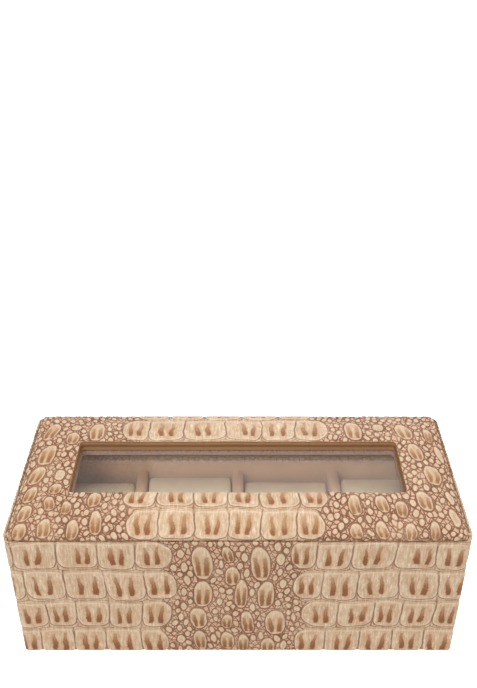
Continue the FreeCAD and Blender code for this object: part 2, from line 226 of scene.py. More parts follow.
def finish_material(material, surface):
    tree = material.node_tree
    add(tree, "ShaderNodeOutputMaterial", {"Surface": surface})
    return material


def hide_material(name, strand=0.052, marking=1.0):
    """Embossed leather: distances to the scales' outlines draw the creases, and noise gives the grain."""
    hide = bpy.context.scene.watchbox_hide
    material = new_material(name)
    tree = material.node_tree
    where = object_place(tree)
    layers = {}
    for attribute, parts in HIDE_LAYERS:
        source = add(tree, "ShaderNodeAttribute", attribute_name=attribute)
        split = add(tree, "ShaderNodeSeparateColor", {"Color": source.outputs["Color"]})
        layers.update(zip(parts, split.outputs))
    edge, medial, stroke = layers["edge"], layers["medial"], layers["stroke"]
    net, depth, height = layers["net"], layers["depth"], layers["height"]
    along_hide = add(tree, "ShaderNodeCombineXYZ", {0: layers["u"], 1: layers["v"]}).outputs[0]

    def times(first, second, clamp=False):
        return math_node(tree, "MULTIPLY", first, second, clamp)

    def plus(first, second):
        return math_node(tree, "ADD", first, second)

    def less(first, second):
        return math_node(tree, "SUBTRACT", first, second)

    # Noise on the sheet is in cells per 100 mm
    broad = noise(tree, along_hide, 4.5, 3.0)
    cloud = noise(tree, along_hide, 19.0, 4.0, 0.6)
    ragged = noise(tree, along_hide, 62.0, 4.0, 0.65)
    speck = noise(tree, where, 1100.0, 2.0, 0.6)
    drawn = add(tree, "ShaderNodeMapping", {"Vector": along_hide, "Scale": (1.0, 0.14, 1.0)}).outputs[0]
    streak = noise(tree, drawn, 82.0, 4.0, 0.68, 0.35)
    hair = noise(tree, drawn, 240.0, 3.0, 0.6, 0.2)

    # Pale face of a scale with upright streaks, light and dark
    face = blend_colour(tree, ramp(tree, plus(times(broad, 0.4), times(cloud, 0.6)), 0.36, 0.64),
                        tuple(hide.cream), tuple(hide.buff))
    face = blend_colour(tree, ramp(tree, streak, 0.47, 0.64, 0.0, 0.62), face, srgb(190, 152, 116))
    face = blend_colour(tree, ramp(tree, streak, 0.48, 0.34, 0.0, 0.7), face, srgb(242, 225, 200))
    face = blend_colour(tree, ramp(tree, hair, 0.5, 0.7, 0.0, 0.55), face, srgb(178, 140, 106))
    # A pale ring inside each scale's outline: a painted highlight on the scale's rounded edge
    rim = times(ramp(tree, edge, -1.9, -1.1), ramp(tree, edge, -0.15, -0.5))
    face = blend_colour(tree, times(rim, 0.4), face, srgb(240, 220, 192))
    # Between the small scales
    tiny = times(net, ramp(tree, layers["small"], 0.75, 0.95))
    face = blend_colour(tree, times(tiny, 0.8), face, srgb(222, 184, 152))
    face = blend_colour(tree, times(less(net, tiny), 0.35), face, srgb(204, 170, 136))
    # Recessed parts are darkened toward the web colour: the hide's own colour between the small scales, and painted
    # shade in the recesses
    low = times(less(1.0, layers["rise"]), plus(times(less(net, times(tiny, 0.7)), 0.6), 0.15), True)
    base = blend_colour(tree, low, face, tuple(hide.web))

    # Strands that cross between the small scales, bent by noise
    sway = less(noise(tree, along_hide, 8.0, 0.0), 0.5)
    tremble = less(noise(tree, along_hide, 24.0, 0.0), 0.5)
    strands = 0.0
    for over, up, bend in ((0.25, 0.11, 1.6), (0.235, -0.125, -1.9), (0.06, 0.22, 1.4)):
        course = plus(times(layers["u"], 100 * over), times(layers["v"], 100 * up))
        course = plus(course, plus(times(sway, bend), times(tremble, 0.35)))
        away = math_node(tree, "PINGPONG", course, 0.5)
        strands = math_node(tree, "MAXIMUM", strands, ramp(tree, away, strand, 2.2 * strand, 1.0, 0.0))
    strands = times(strands, times(net, math_node(tree, "MAXIMUM", tiny, ramp(tree, edge, -0.1, 0.2))))

    # Creases: round each scale, half way between neighbours, and a faint one inside the rim
    shaky = plus(edge, times(less(ragged, 0.5), 0.5))
    away = math_node(tree, "ABSOLUTE", shaky)
    width = plus(0.36, times(net, 0.1))
    outline = ramp(tree, math_node(tree, "DIVIDE", away, width), 0.35, 1.15, 1.0, 0.0)
    top_side = ramp(tree, height, 0.72, 0.92)
    outline = times(outline, less(1.0, times(top_side, times(less(1.0, net), 0.85))))
    outline = times(outline, less(1.0, times(tiny, 0.9)))
    gap_line = ramp(tree, plus(medial, times(less(ragged, 0.5), 0.3)), 0.1, plus(0.5, times(net, -0.06)), 1.0, 0.0)
    between = times(gap_line, math_node(tree, "MAXIMUM", ramp(tree, edge, 0.1, 0.5), net))
    between = times(between, ramp(tree, cloud, 0.3, 0.6, 0.6, 1.0))
    between = times(between, less(1.0, times(tiny, 0.92)))
    inner_away = math_node(tree, "ABSOLUTE", plus(shaky, 1.35))
    inner = times(ramp(tree, inner_away, 0.1, 0.42, 1.0, 0.0), ramp(tree, cloud, 0.42, 0.6, 0.0, 0.5))
    inner = times(times(inner, less(1.0, times(layers["small"], 1.6, True))), ramp(tree, height, 0.3, 0.7, 0.8, 0.0))
    crease = math_node(tree, "MAXIMUM", outline, math_node(tree, "MAXIMUM", between, inner))
    crease = math_node(tree, "MAXIMUM", crease, strands)
    crease = times(times(crease, ramp(tree, broad, 0.3, 0.6, 0.75, 1.0)), plus(0.86, times(net, 0.14)), True)

    # Paired marks: ragged, darker down their sides and at the foot, with a warm halo
    mark_edge = less(plus(stroke, times(less(ragged, 0.5), 1.9)), times(net, 0.22))
    inside_scale = ramp(tree, edge, -0.1, -0.7)
    mark = ramp(tree, mark_edge, -0.65, 0.35, 1.0, 0.0)
    strength = plus(0.36, times(depth, 0.84))
    strength = times(strength, ramp(tree, hair, 0.3, 0.7, 1.15, 0.8))
    strength = times(times(strength, less(1.0, times(net, 0.12))), marking)
    mark = times(times(mark, strength), inside_scale, True)
    halo = times(times(ramp(tree, stroke, -0.3, 2.0, 1.0, 0.0), inside_scale), plus(0.22, times(depth, 0.3)))
    sides = times(ramp(tree, mark_edge, -1.3, -0.7), ramp(tree, mark_edge, -0.1, -0.5))
    core = math_node(tree, "MAXIMUM", times(sides, ramp(tree, cloud, 0.35, 0.6, 0.3, 1.0)),
                     ramp(tree, plus(depth, times(less(ragged, 0.5), 0.5)), 0.75, 1.0))
    core = times(times(core, mark), less(1.0, times(net, 0.55)), True)

    base = blend_colour(tree, halo, base, srgb(194, 146, 98))
    base = blend_colour(tree, mark, base, blend_colour(tree, times(net, 0.65), tuple(hide.stain), srgb(142, 100, 56)))
    base = blend_colour(tree, times(core, 0.55), base, srgb(104, 58, 34))
    base = blend_colour(tree, times(crease, 0.92), base, tuple(hide.line))
    base = blend_colour(tree, ramp(tree, speck, 0.54, 0.76, 0.0, 0.3), base, srgb(150, 108, 78))
    # Painted shade: the fold share darkens the hide where shade falls at its turns, first to a plain tan that hides the
    # pattern, then to dark brown
    base = blend_colour(tree, ramp(tree, layers["fold"], 0.0, 0.45, 0.0, 0.96), base, srgb(190, 146, 104))
    base = blend_colour(tree, ramp(tree, layers["fold"], 0.5, 1.0, 0.0, 0.96), base, srgb(124, 80, 50))

    cells = add(tree, "ShaderNodeTexVoronoi", {"Vector": where, "Scale": 1300.0}, feature="DISTANCE_TO_EDGE")
    pores = ramp(tree, cells.outputs["Distance"], 0.0, 0.12)
    relief = plus(times(speck, 0.5), times(pores, 0.5))
    normal = bump(tree, relief, hide.grain, 0.00012)
    normal = bump(tree, less(1.0, crease), 0.5, 0.0003, normal)
    rough = ramp(tree, plus(cloud, times(crease, 0.3)), 0.3, 0.9, 0.46, 0.66)
    shader = add(tree, "ShaderNodeBsdfPrincipled",
                 {"Base Color": base, "Roughness": rough, "Normal": normal, "Specular IOR Level": 0.3})
    return finish_material(material, shader.outputs[0])


def suede_material(name, colour, sheen=0.25, shade=1.0):
    """Short-napped lining with brushed patches."""
    material = new_material(name)
    tree = material.node_tree
    where = object_place(tree)
    brushed = noise(tree, where, 42.0, 3.0, 0.55, 0.2)
    nap = noise(tree, where, 620.0, 4.0, 0.65)
    fibre = noise(tree, where, 2600.0, 2.0, 0.6)
    pale = tuple(min(1.0, part * 1.12 * shade) for part in colour[:3]) + (1.0,)
    deep = tuple(part * 0.82 * shade for part in colour[:3]) + (1.0,)
    mix = math_node(tree, "ADD", math_node(tree, "MULTIPLY", brushed, 0.4), math_node(tree, "MULTIPLY", nap, 0.6))
    base = blend_colour(tree, ramp(tree, mix, 0.28, 0.72), deep, pale)
    base = blend_colour(tree, ramp(tree, fibre, 0.35, 0.65, 0.0, 0.22), base, deep)
    height = math_node(tree, "ADD", math_node(tree, "MULTIPLY", nap, 0.5), fibre)
    normal = bump(tree, height, 0.5, 0.00015)
    shader = add(tree, "ShaderNodeBsdfPrincipled",
                 {"Base Color": base, "Roughness": 0.92, "Normal": normal, "Sheen Weight": sheen,
                  "Sheen Roughness": 0.45, "Specular IOR Level": 0.15})
    return finish_material(material, shader.outputs[0])


def metal_material(name, colour, roughness=0.28):
    """Plated metal with fine drawn lines and dulled patches."""
    material = new_material(name)
    tree = material.node_tree
    where = object_place(tree)
    stretched = add(tree, "ShaderNodeMapping", {"Vector": where, "Scale": (0.08, 1.0, 1.0)}).outputs[0]
    drawn = noise(tree, stretched, 3000.0, 2.0)
    dull = noise(tree, where, 300.0, 4.0, 0.6)
    deep = tuple(part * 0.7 for part in colour[:3]) + (1.0,)
    base = blend_colour(tree, ramp(tree, dull, 0.35, 0.75), tuple(colour), deep)
    rough = ramp(tree, dull, 0.3, 0.7, roughness, roughness + 0.18)
    shader = add(tree, "ShaderNodeBsdfPrincipled",
                 {"Base Color": base, "Metallic": 1.0, "Roughness": rough,
                  "Normal": bump(tree, drawn, 0.15, 0.00005)})
    return finish_material(material, shader.outputs[0])


def board_material(name, colour, grain_axis=(1.0, 0.06, 1.0)):
    """Dense board: fine chips, faint long streaks and darker cut specks."""
    material = new_material(name)
    tree = material.node_tree
    where = object_place(tree)
    streak = add(tree, "ShaderNodeMapping", {"Vector": where, "Scale": grain_axis}).outputs[0]
    long_grain = noise(tree, streak, 900.0, 5.0, 0.6)
    chips = noise(tree, where, 1300.0, 3.0, 0.6)
    deep = tuple(part * 0.68 for part in colour[:3]) + (1.0,)
    base = blend_colour(tree, ramp(tree, long_grain, 0.35, 0.7), tuple(colour), deep)
    base = blend_colour(tree, ramp(tree, chips, 0.55, 0.8, 0.0, 0.35), base, deep)
    shader = add(tree, "ShaderNodeBsdfPrincipled",
                 {"Base Color": base, "Roughness": ramp(tree, chips, 0.3, 0.7, 0.6, 0.8),
                  "Normal": bump(tree, chips, 0.3, 0.0001), "Specular IOR Level": 0.25})
    return finish_material(material, shader.outputs[0])


def glass_material(name):
    """Clear window with a faint film of dust."""
    material = new_material(name)
    tree = material.node_tree
    where = object_place(tree)
    film = noise(tree, where, 120.0, 4.0, 0.6)
    glass = add(tree, "ShaderNodeBsdfPrincipled",
                {"Base Color": (0.98, 0.975, 0.965, 1.0), "Roughness": 0.03, "IOR": 1.15,
                 "Transmission Weight": 1.0})
    clear = add(tree, "ShaderNodeBsdfTransparent", {"Color": (0.98, 0.975, 0.965, 1.0)})
    light = add(tree, "ShaderNodeLightPath")
    see_through = math_node(tree, "MAXIMUM", light.outputs["Is Shadow Ray"], light.outputs["Is Diffuse Ray"])
    body = add(tree, "ShaderNodeMixShader", {0: see_through, 1: glass.outputs[0], 2: clear.outputs[0]})
    dust = add(tree, "ShaderNodeBsdfDiffuse", {"Color": (0.8, 0.76, 0.74, 1.0)})
    share = ramp(tree, film, 0.3, 0.8, 0.03, 0.055)
    surface = add(tree, "ShaderNodeMixShader", {0: share, 1: body.outputs[0], 2: dust.outputs[0]})
    return finish_material(material, surface.outputs[0])


# Hide pattern
Scale = namedtuple("Scale", "u v wide tall top foot side lean mark shift net tone")
ANGULAR = 1.8
SQUARE_TOP = 11.0
SOFT_FOOT = 4.4
SCALE_GAP = 0.3           # between two scales of a row
ROW_STRIP = 2.6           # between two rows


def belly_row(foot, top, bounds, chance, open_left=False, open_right=False, marks=()):
    """One row of large scales between given bounds, rounder where it meets the small scales."""
    scales = []
    last = len(bounds) - 2
    for index, (left, right) in enumerate(zip(bounds, bounds[1:])):
        side = 0
        if index == 0 and open_left:
            side = -1
        if index == last and open_right:
            side = 1
        middle = (left + right) / 2
        held = [pair for pair in marks if left < (pair[0] + pair[1]) / 2 < right]
        if held:
            apart = (held[0][1] - held[0][0]) / 2
            shift = (held[0][0] + held[0][1]) / 2 - middle
        else:
            apart = 3.2 + chance.uniform(-0.3, 0.4)
            shift = chance.uniform(-1.2, 1.2)
        scales.append(Scale(
            middle, (foot + top) / 2 + chance.uniform(-0.4, 0.4),
            (right - left - SCALE_GAP) / 2, (top - foot - ROW_STRIP) / 2 + chance.uniform(-0.3, 0.3),
            SQUARE_TOP, SOFT_FOOT + chance.uniform(-0.6, 0.6), side, chance.uniform(-0.03, 0.03),
            apart, shift, 0.0, chance.uniform(0, 1)))
    return scales


def ovals(places, chance):
    """Large pebbled scales of the flanks, from a list of places, half sizes and leans."""
    scales = []
    for u, v, wide, tall, lean in places:
        mark = 0.42 * wide if wide > 2.8 and tall > 4.6 else 0.0
        top, foot = (2.2, 2.5) if wide > 2.6 else (ANGULAR, ANGULAR)
        scales.append(Scale(u, v, wide, tall, top, foot, 0, lean, mark, 0.0, 0.8, chance.uniform(0, 1)))
    return scales


def clearance(u, v, scales):
    """Distance from places to the nearest scale's outline, roughly."""
    nearest = np.full(u.size, 99.0)
    for s in scales:
        near = np.flatnonzero((np.abs(u - s.u) < s.wide + 6.0) & (np.abs(v - s.v) < s.tall + 6.0))
        if not near.size:
            continue
        gap = gap_to(s, u[near], v[near])
        nearest[near] = np.minimum(nearest[near], gap)
    return nearest


def gap_to(s, u, v):
    """Signed distance to a scale's outline, below zero inside."""
    along = v - s.v
    across = u - s.u + s.lean * along
    power = np.where(along > 0, s.top, s.foot)
    if s.side:
        power = np.where(across * s.side > 0, 2.3, power)
    reach = ((np.abs(across) / s.wide + 1e-4) ** power + (np.abs(along) / s.tall + 1e-4) ** power) ** (1 / power)
    flat = np.minimum(s.wide, s.tall)
    return np.maximum(np.hypot(across, along) * (1 - 1 / reach), (reach - 1) * flat)


def pebbles(areas, scales, chance, sizes=((2.1, 1.5), (0.95, 1.15))):
    """Small scales set wherever the others leave room, from the largest size down."""
    found = []
    for size, tallness in sizes:
        pitch = 1.7 * size
        for left, right, low, high in areas:
            columns = np.arange(left, right, pitch)
            rows = np.arange(low, high, pitch * tallness * 0.8)
            u, v = [grid.ravel() for grid in np.meshgrid(columns, rows)]
            tries = 3 if size > 1 else 2
            for _ in range(tries):
                here_u = u + chance.uniform(-0.5, 0.5, u.size) * pitch
                here_v = v + chance.uniform(-0.5, 0.5, u.size) * pitch
                room = clearance(here_u, here_v, scales + found)
                for index in np.argsort(-room):
                    if room[index] < (1.1 if size > 1 else 0.8) * size:
                        break
                    spot = (here_u[index], here_v[index])
                    if found and any(abs(f.u - spot[0]) < 1.02 * (f.wide + 0.8 * size)
                                     and abs(f.v - spot[1]) < 1.02 * (f.tall + 0.8 * size)
                                     for f in found[-60:]):
                        continue
                    radius = min(size, room[index]) * chance.uniform(0.86, 1.0)
                    found.append(Scale(spot[0], spot[1], radius, radius * tallness * chance.uniform(0.85, 1.1),
                                       ANGULAR, ANGULAR, 0, chance.uniform(-0.25, 0.25), 0.0, 0.0, 1.0,
                                       chance.uniform(0, 1)))
    return found


def wander(u, v, chance):
    """Bends straight lines a little, as hide does."""
    shift_u = np.zeros_like(u)
    shift_v = np.zeros_like(v)
    for length, reach in ((61.0, 0.6), (37.0, 0.4), (19.0, 0.28), (9.0, 0.14), (5.0, 0.08)):
        for shift in (shift_u, shift_v):
            turn = chance.uniform(0, 2 * math.pi)
            phase = chance.uniform(0, 2 * math.pi)
            shift += reach * np.sin(2 * math.pi * (u * math.cos(turn) + v * math.sin(turn)) / length + phase)
    return u + shift_u, v + shift_v


def step(low, high, value):
    share = np.clip((value - low) / (high - low), 0.0, 1.0)
    return share * share * (3 - 2 * share)


FAR = 6.0
# The fold share carries painted shade for the material
HIDE_LAYERS = (
    ("outline", ("edge", "medial", "stroke")),
    ("shares", ("net", "tone", "depth")),
    ("sheet", ("u", "v", "height")),
    ("form", ("small", "rise", "fold")),
)


def emboss(u, v, scales, seed):
    """Distances in millimetres and shares that the hide's material and relief are made from."""
    chance = np.random.default_rng(seed)
    plain_u, plain_v = u, v
    u, v = wander(u, v, chance)
    first = np.full(u.size, FAR)
    second = np.full(u.size, FAR)
    owner = np.zeros(u.size, int)
    order = np.argsort(u)
    sorted_u = u[order]
    for index, s in enumerate(scales):
        reach = min(FAR, 1.5 + s.wide)
        start, end = np.searchsorted(sorted_u, (s.u - s.wide - reach - 1, s.u + s.wide + reach + 1))
        near = order[start:end]
        near = near[np.abs(v[near] - s.v) < s.tall + reach]
        if not near.size:
            continue
        gap = gap_to(s, u[near], v[near])
        closer = gap < first[near]
        taken = near[closer]
        second[taken] = first[taken]
        first[taken] = gap[closer]
        owner[taken] = index
        rest = near[~closer]
        second[rest] = np.minimum(second[rest], gap[~closer])

    field = {name: np.array([getattr(s, name) for s in scales], float) for name in Scale._fields}
    mine = {name: values[owner] for name, values in field.items()}
    along = v - mine["v"]
    across = u - mine["u"] + mine["lean"] * along
    height = along / mine["tall"]
    net = mine["net"]
    small = (1 - step(2.3, 3.4, mine["wide"])) * (1 - 0.35 * step(1.3, 1.55, mine["wide"]))
    edge = first
    medial = (second - first) / 2

    large = 1 - np.minimum(1, small * 1.6)
    soft = 0.55 + 0.9 * large
    at_head = step(0.55, 0.85, height) * large * (1 - net)
    inside = step(0.0, 1.0, -edge / (soft * (1 + 1.2 * at_head)))
    inside += (1 - inside) * 0.45 * at_head
    strip = step(0.15, 0.8, edge) * step(0.1, 0.7, medial) * 0.6
    in_row = np.where(edge < 0, inside, strip)
    in_flank = step(0.1, 0.95, medial) * (0.62 + 0.38 * step(1.2, 0.0, np.maximum(edge, 0)))
    tiny = small > 0.9
    in_flank = np.where(tiny, 0.55 + 0.1 * in_flank, in_flank)
    rise = np.where(net > 0.5, in_flank, in_row)

    # Paired marks, as a distance to the nearer one's outline
    stroke = np.full(u.size, 3.0)
    in_net = net > 0.5
    foot_end = np.where(in_net, -0.76, -0.66)
    head_end = np.where(in_net, 0.36, 0.66)
    for side in (-1, 1):
        waver = 0.5 * np.sin(2.7 * mine["u"] + 1.9 * side)
        toe = np.where(in_net, 0.05, 0.06) * (along + 0.2 * mine["tall"]) * side
        bend = 0.25 * np.sin(0.55 * along + 3.3 * mine["u"] + side)
        centre = mine["shift"] + side * mine["mark"] + toe * (1 + 0.6 * waver) + np.where(in_net, 0.3, 1.0) * bend
        half = np.where(in_net, 0.36 * mine["mark"] + 0.45, 1.62 + 0.25 * waver)
        half = half * (1.0 - 0.35 * step(-0.2, 0.6, height)) * (0.75 + 0.25 * step(-0.70, -0.4, height))
        top = (head_end + 0.08 * waver - height) * mine["tall"]
        bottom = (height - foot_end - 0.04 * waver) * mine["tall"]
        to_side = np.abs(across - centre) - half
        ends = -np.minimum(top, bottom * 1.3)
        stroke = np.minimum(stroke, np.where(mine["mark"] > 0, np.maximum(to_side, ends), 3.0))
    depth = 1 - step(-0.45, np.where(in_net, 0.5, 0.72), height)
    sunk = 1 - step(-0.6, 0.45, stroke)
    rise = np.clip(rise - 0.35 * sunk * step(0.2, 1.0, -edge), 0, 1)

    return {"edge": edge, "medial": np.minimum(medial, 3.0), "stroke": stroke, "depth": depth, "net": net,
            "small": small, "tone": mine["tone"], "height": np.clip(height, -1.5, 1.5), "rise": rise,
            "u": plain_u / 100, "v": plain_v / 100}


# The front's pattern, in millimetres from the box's middle and from the table
FRONT_LEVELS = (94.0, 71.0, 45.3, 21.2, -4.0)
FRONT_LEFT = (
    (-148, -129, -103, -79, -58, -36),
    (-145, -124, -100, -77, -54, -35.5),
    (-142, -114.5, -96.5, -77.6, -56.9, -39.5),
    (-140, -119.7, -99.4, -79.7, -58.2, -41.6),
)
FRONT_RIGHT = (
    (29, 44.5, 64, 89.5, 113, 132, 150),
    (32, 50, 70, 94, 116, 138),
    (37.3, 59.5, 80, 97.4, 116.6, 138),
    (33.9, 52.3, 74.4, 94.1, 113.8, 134, 150),
)
FRONT_MARKS = (
    ((-120, -113.2), (-91, -85.3), (-71, -65.3), (-51.7, -45.4), (32.6, 38.8), (51.3, 58.2), (72.4, 79.8),
     (102, 108.3), (120.8, 127)),
    ((-138, -131), (-116.8, -108.6), (-91.1, -83.5), (-69.4, -62.4), (-49.6, -42.5), (36.9, 43.4), (56.2, 63.2),
     (76.7, 84.3), (101.8, 108.8), (122.3, 129.9)),
    ((-126.1, -120.0), (-109.2, -103.2), (-89.4, -83.4), (-71.4, -64.8), (-51.6, -45.5), (45.8, 52.4),
     (67.4, 74.0), (84.2, 90.2), (103.5, 109.5), (121.5, 127.5)),
    ((-130.5, -124.5), (-112.0, -105.8), (-92.3, -86.1), (-73.8, -66.4), (-54.1, -47.3), (38.9, 45.7),
     (61.1, 67.9), (80.8, 88.2), (101.1, 107.3), (118.4, 126.4)),
)
FRONT_OVALS = (
    (-20.4, 77.0, 5.7, 13.4, 0.0), (-5.6, 84.5, 3.8, 6.3, 0.1), (-3.9, 67.0, 4.9, 8.6, 0.0),
    (-20.5, 51.7, 5.6, 11.3, 0.0), (-22.8, 30.0, 5.4, 9.8, 0.05), (-23.2, 9.5, 4.4, 9.5, 0.0),
    (-5.9, 27.5, 3.3, 6.7, -0.1), (-6.6, 10.5, 4.3, 7.8, 0.0), (1.9, 51.7, 4.4, 12.5, 0.0),
    (12.7, 76.0, 5.7, 14.6, 0.08), (17.2, 50.5, 5.0, 11.6, 0.0), (5.5, 27.5, 3.9, 10.0, 0.05),
    (22.6, 25.7, 6.0, 11.6, 0.0), (2.8, 8.0, 3.1, 9.5, 0.0), (17.5, 5.0, 5.0, 7.0, 0.0),
    (-31.7, 84.0, 2.1, 4.5, 0.0), (-30.4, 72.8, 2.2, 4.2, 0.0), (-29.5, 62.0, 2.1, 4.6, 0.1),
    (-31.6, 52.2, 2.1, 3.8, 0.0), (-32.1, 40.5, 2.3, 3.9, 0.0), (-34.2, 31.0, 2.0, 3.4, 0.0),
    (-35.1, 21.4, 1.9, 3.4, 0.0), (-34.5, 10.5, 2.4, 4.2, 0.0), (-10.3, 77.0, 1.7, 3.8, 0.0),
    (-10.4, 44.6, 1.9, 3.8, 0.0), (-12.6, 29.5, 1.7, 3.0, 0.0), (-14.6, 12.0, 1.9, 4.2, 0.0),
    (4.1, 82.2, 1.9, 4.5, 0.0), (5.0, 69.0, 2.1, 4.2, 0.0), (8.9, 52.5, 2.0, 3.8, 0.0),
    (9.2, 40.2, 2.1, 3.6, 0.0), (21.9, 89.0, 2.2, 4.2, 0.0), (23.5, 79.2, 2.4, 5.0, 0.0),
    (23.8, 69.0, 1.9, 3.8, 0.0), (26.4, 59.5, 2.1, 4.2, 0.0), (12.3, 24.5, 1.6, 3.4, 0.0),
    (13.2, 14.6, 2.0, 4.0, 0.0), (27.9, 5.0, 2.3, 4.4, 0.0), (33.4, 30.0, 1.5, 4.4, 0.0),
)

# The padded lid's pattern
LID_FRONT_LEVELS = (-20.0, -38.8, -62.0)
LID_FRONT_UPPER = (-67.2, -47.9, -25.6, -5.2, 13.0, 35.2, 51.6)
LID_FRONT_LOWER = (-62.5, -45.0, -25.3, -5.5, 13.6, 33.9, 49.2)
LID_BACK_LEVELS = (48.5, 21.4, -2.0)
LID_BACK_UPPER = (-74.0, -56.4, -35.0, -8.3, 15.7, 37.2, 58.0)
LID_BACK_BEYOND = (-68.0, -46.0, -22.0, 3.0, 27.0, 49.0)
LID_MARKS = (
    ((-61.9, -56.1), (-39.1, -33.3), (-19.2, -13.3), (1.3, 6.6), (18.9, 25.9), (40.5, 46.4)),
    ((-56.1, -50.5), (-37.6, -31.4), (-17.9, -12.4), (0.1, 6.3), (20.4, 27.1), (38.3, 43.9)),
    ((-68.3, -62.4), (-48.7, -42.2), (-26.6, -20.1), (4, 9.9), (22.3, 30.1), (43.1, 49.6)),
)
LID_OVALS = (
    (-120.4, 33.9, 4.7, 10.4, -0.08), (-117.6, 9.0, 5.3, 9.6, -0.08), (-121.3, -9.0, 5.2, 7.8, -0.12),
    (-122.1, -25.4, 4.2, 7.4, -0.12), (-123.1, -41.5, 4.1, 7.0, -0.08), (-122.8, -55.6, 4.3, 6.2, 0.0),
    (-105.4, 37.6, 3.6, 3.7, 0.0), (-105.2, 25.0, 4.2, 6.6, 0.0), (-106.4, -9.7, 3.3, 4.5, -0.04),
    (-107.2, -21.6, 4.1, 5.0, -0.08), (-109.6, -34.6, 3.4, 6.2, 0.0), (-99.2, -37.8, 3.2, 6.0, 0.04),
    (-109.4, -54.0, 4.0, 7.4, 0.0), (-93.0, -54.2, 3.9, 7.8, 0.0), (-79.8, -49.8, 3.7, 9.4, 0.04),
    (-83.4, -31.5, 4.1, 6.8, 0.0), (-90.5, 32.5, 5.2, 11.0, 0.0),
    (73.9, 33.4, 5.8, 10.6, 0.0), (91.3, 37.4, 3.9, 4.0, 0.0), (106.7, 31.8, 5.2, 8.8, 0.08),
    (121.9, 30.0, 2.9, 8.0, 0.12), (110.8, 11.4, 4.7, 9.0, 0.04), (116.8, -9.6, 5.4, 9.0, 0.04),
    (126.2, 11.8, 2.6, 9.0, 0.12), (108.5, -32.4, 4.4, 8.0, 0.12), (94.8, -38.0, 3.7, 6.4, 0.0),
    (84.2, -34.6, 4.0, 7.0, 0.04), (67.6, -36.0, 4.0, 8.0, 0.04), (65.9, -54.4, 3.8, 6.0, 0.0),
    (80.5, -54.2, 3.9, 7.4, 0.0), (97.1, -55.0, 3.7, 7.4, 0.0), (111.1, -55.0, 3.1, 7.8, 0.04),
    (123.2, -43.9, 2.8, 8.0, 0.12), (123.8, -28.0, 2.4, 6.0, 0.12),
)


def front_scales():
    chance = np.random.default_rng(11)
    scales = []
    for row, (top, foot) in enumerate(zip(FRONT_LEVELS, FRONT_LEVELS[1:])):
        scales += belly_row(foot, top, FRONT_LEFT[row], chance, open_right=True, marks=FRONT_MARKS[row])
        scales += belly_row(foot, top, FRONT_RIGHT[row], chance, open_left=True, marks=FRONT_MARKS[row])
    scales += belly_row(94.0, 118.0, (-146, -122, -98, -74, -50, -30, -8, 14, 38, 62, 86, 110, 134), chance)
    scales += ovals(FRONT_OVALS, chance)
    scales += pebbles(((-43, 38, -5, 95),), scales, chance)
    return scales


def lid_scales():
    chance = np.random.default_rng(23)
    upper, lower, back = LID_MARKS
    scales = belly_row(LID_FRONT_LEVELS[1], LID_FRONT_LEVELS[0], LID_FRONT_UPPER, chance, True, True, upper)
    scales += belly_row(LID_FRONT_LEVELS[2], LID_FRONT_LEVELS[1], LID_FRONT_LOWER, chance, True, True, lower)
    scales += belly_row(LID_BACK_LEVELS[1], LID_BACK_LEVELS[0], LID_BACK_UPPER, chance, True, True, back)
    scales += belly_row(LID_BACK_LEVELS[2], LID_BACK_LEVELS[1], LID_BACK_BEYOND, chance, True, True)
    scales += belly_row(LID_BACK_LEVELS[0], 72.0, LID_BACK_BEYOND, chance, True, True)
    scales += ovals(LID_OVALS, chance)
    scales += pebbles(((-140, -60, -68, 66), (48, 140, -68, 66)), scales, chance)
    return scales


def wall_scales(low, high, levels, nets, reach, seed):
    """A long band of hide: rows of large scales with nets of small ones between them."""
    chance = np.random.default_rng(seed)
    scales = []
    stops = [-reach]
    for start, end in nets:
        stops += [start, end]
    stops.append(reach)
    for top, foot in zip(levels, levels[1:]):
        for left, right in zip(stops[0::2], stops[1::2]):
            count = max(1, round((right - left) / 22.0))
            bounds = np.linspace(left, right, count + 1)
            bounds[1:-1] += chance.uniform(-3.0, 3.0, count - 1)
            shift = chance.uniform(-3.0, 3.0)
            scales += belly_row(foot, top, bounds + shift, chance, left > -reach, right < reach)
    big = []
    for start, end in nets:
        columns = max(2, round((end - start) / 19.0))
        for column in range(columns):
            u = start + (column + 0.5) * (end - start) / columns
            v = low + chance.uniform(2, 10)
            while v < high:
                tall = chance.uniform(6.5, 11.0)
                big.append((u + chance.uniform(-2, 2), v + tall, chance.uniform(3.8, 5.6), tall,
                            chance.uniform(-0.1, 0.1)))
                v += 2 * tall + chance.uniform(2.0, 5.0)
    scales += ovals(big, chance)
    areas = [(start - 6, end + 6, low, high) for start, end in nets]
    scales += pebbles(areas, scales, chance)
    return scales


# Skins
ARC_STEPS = 12


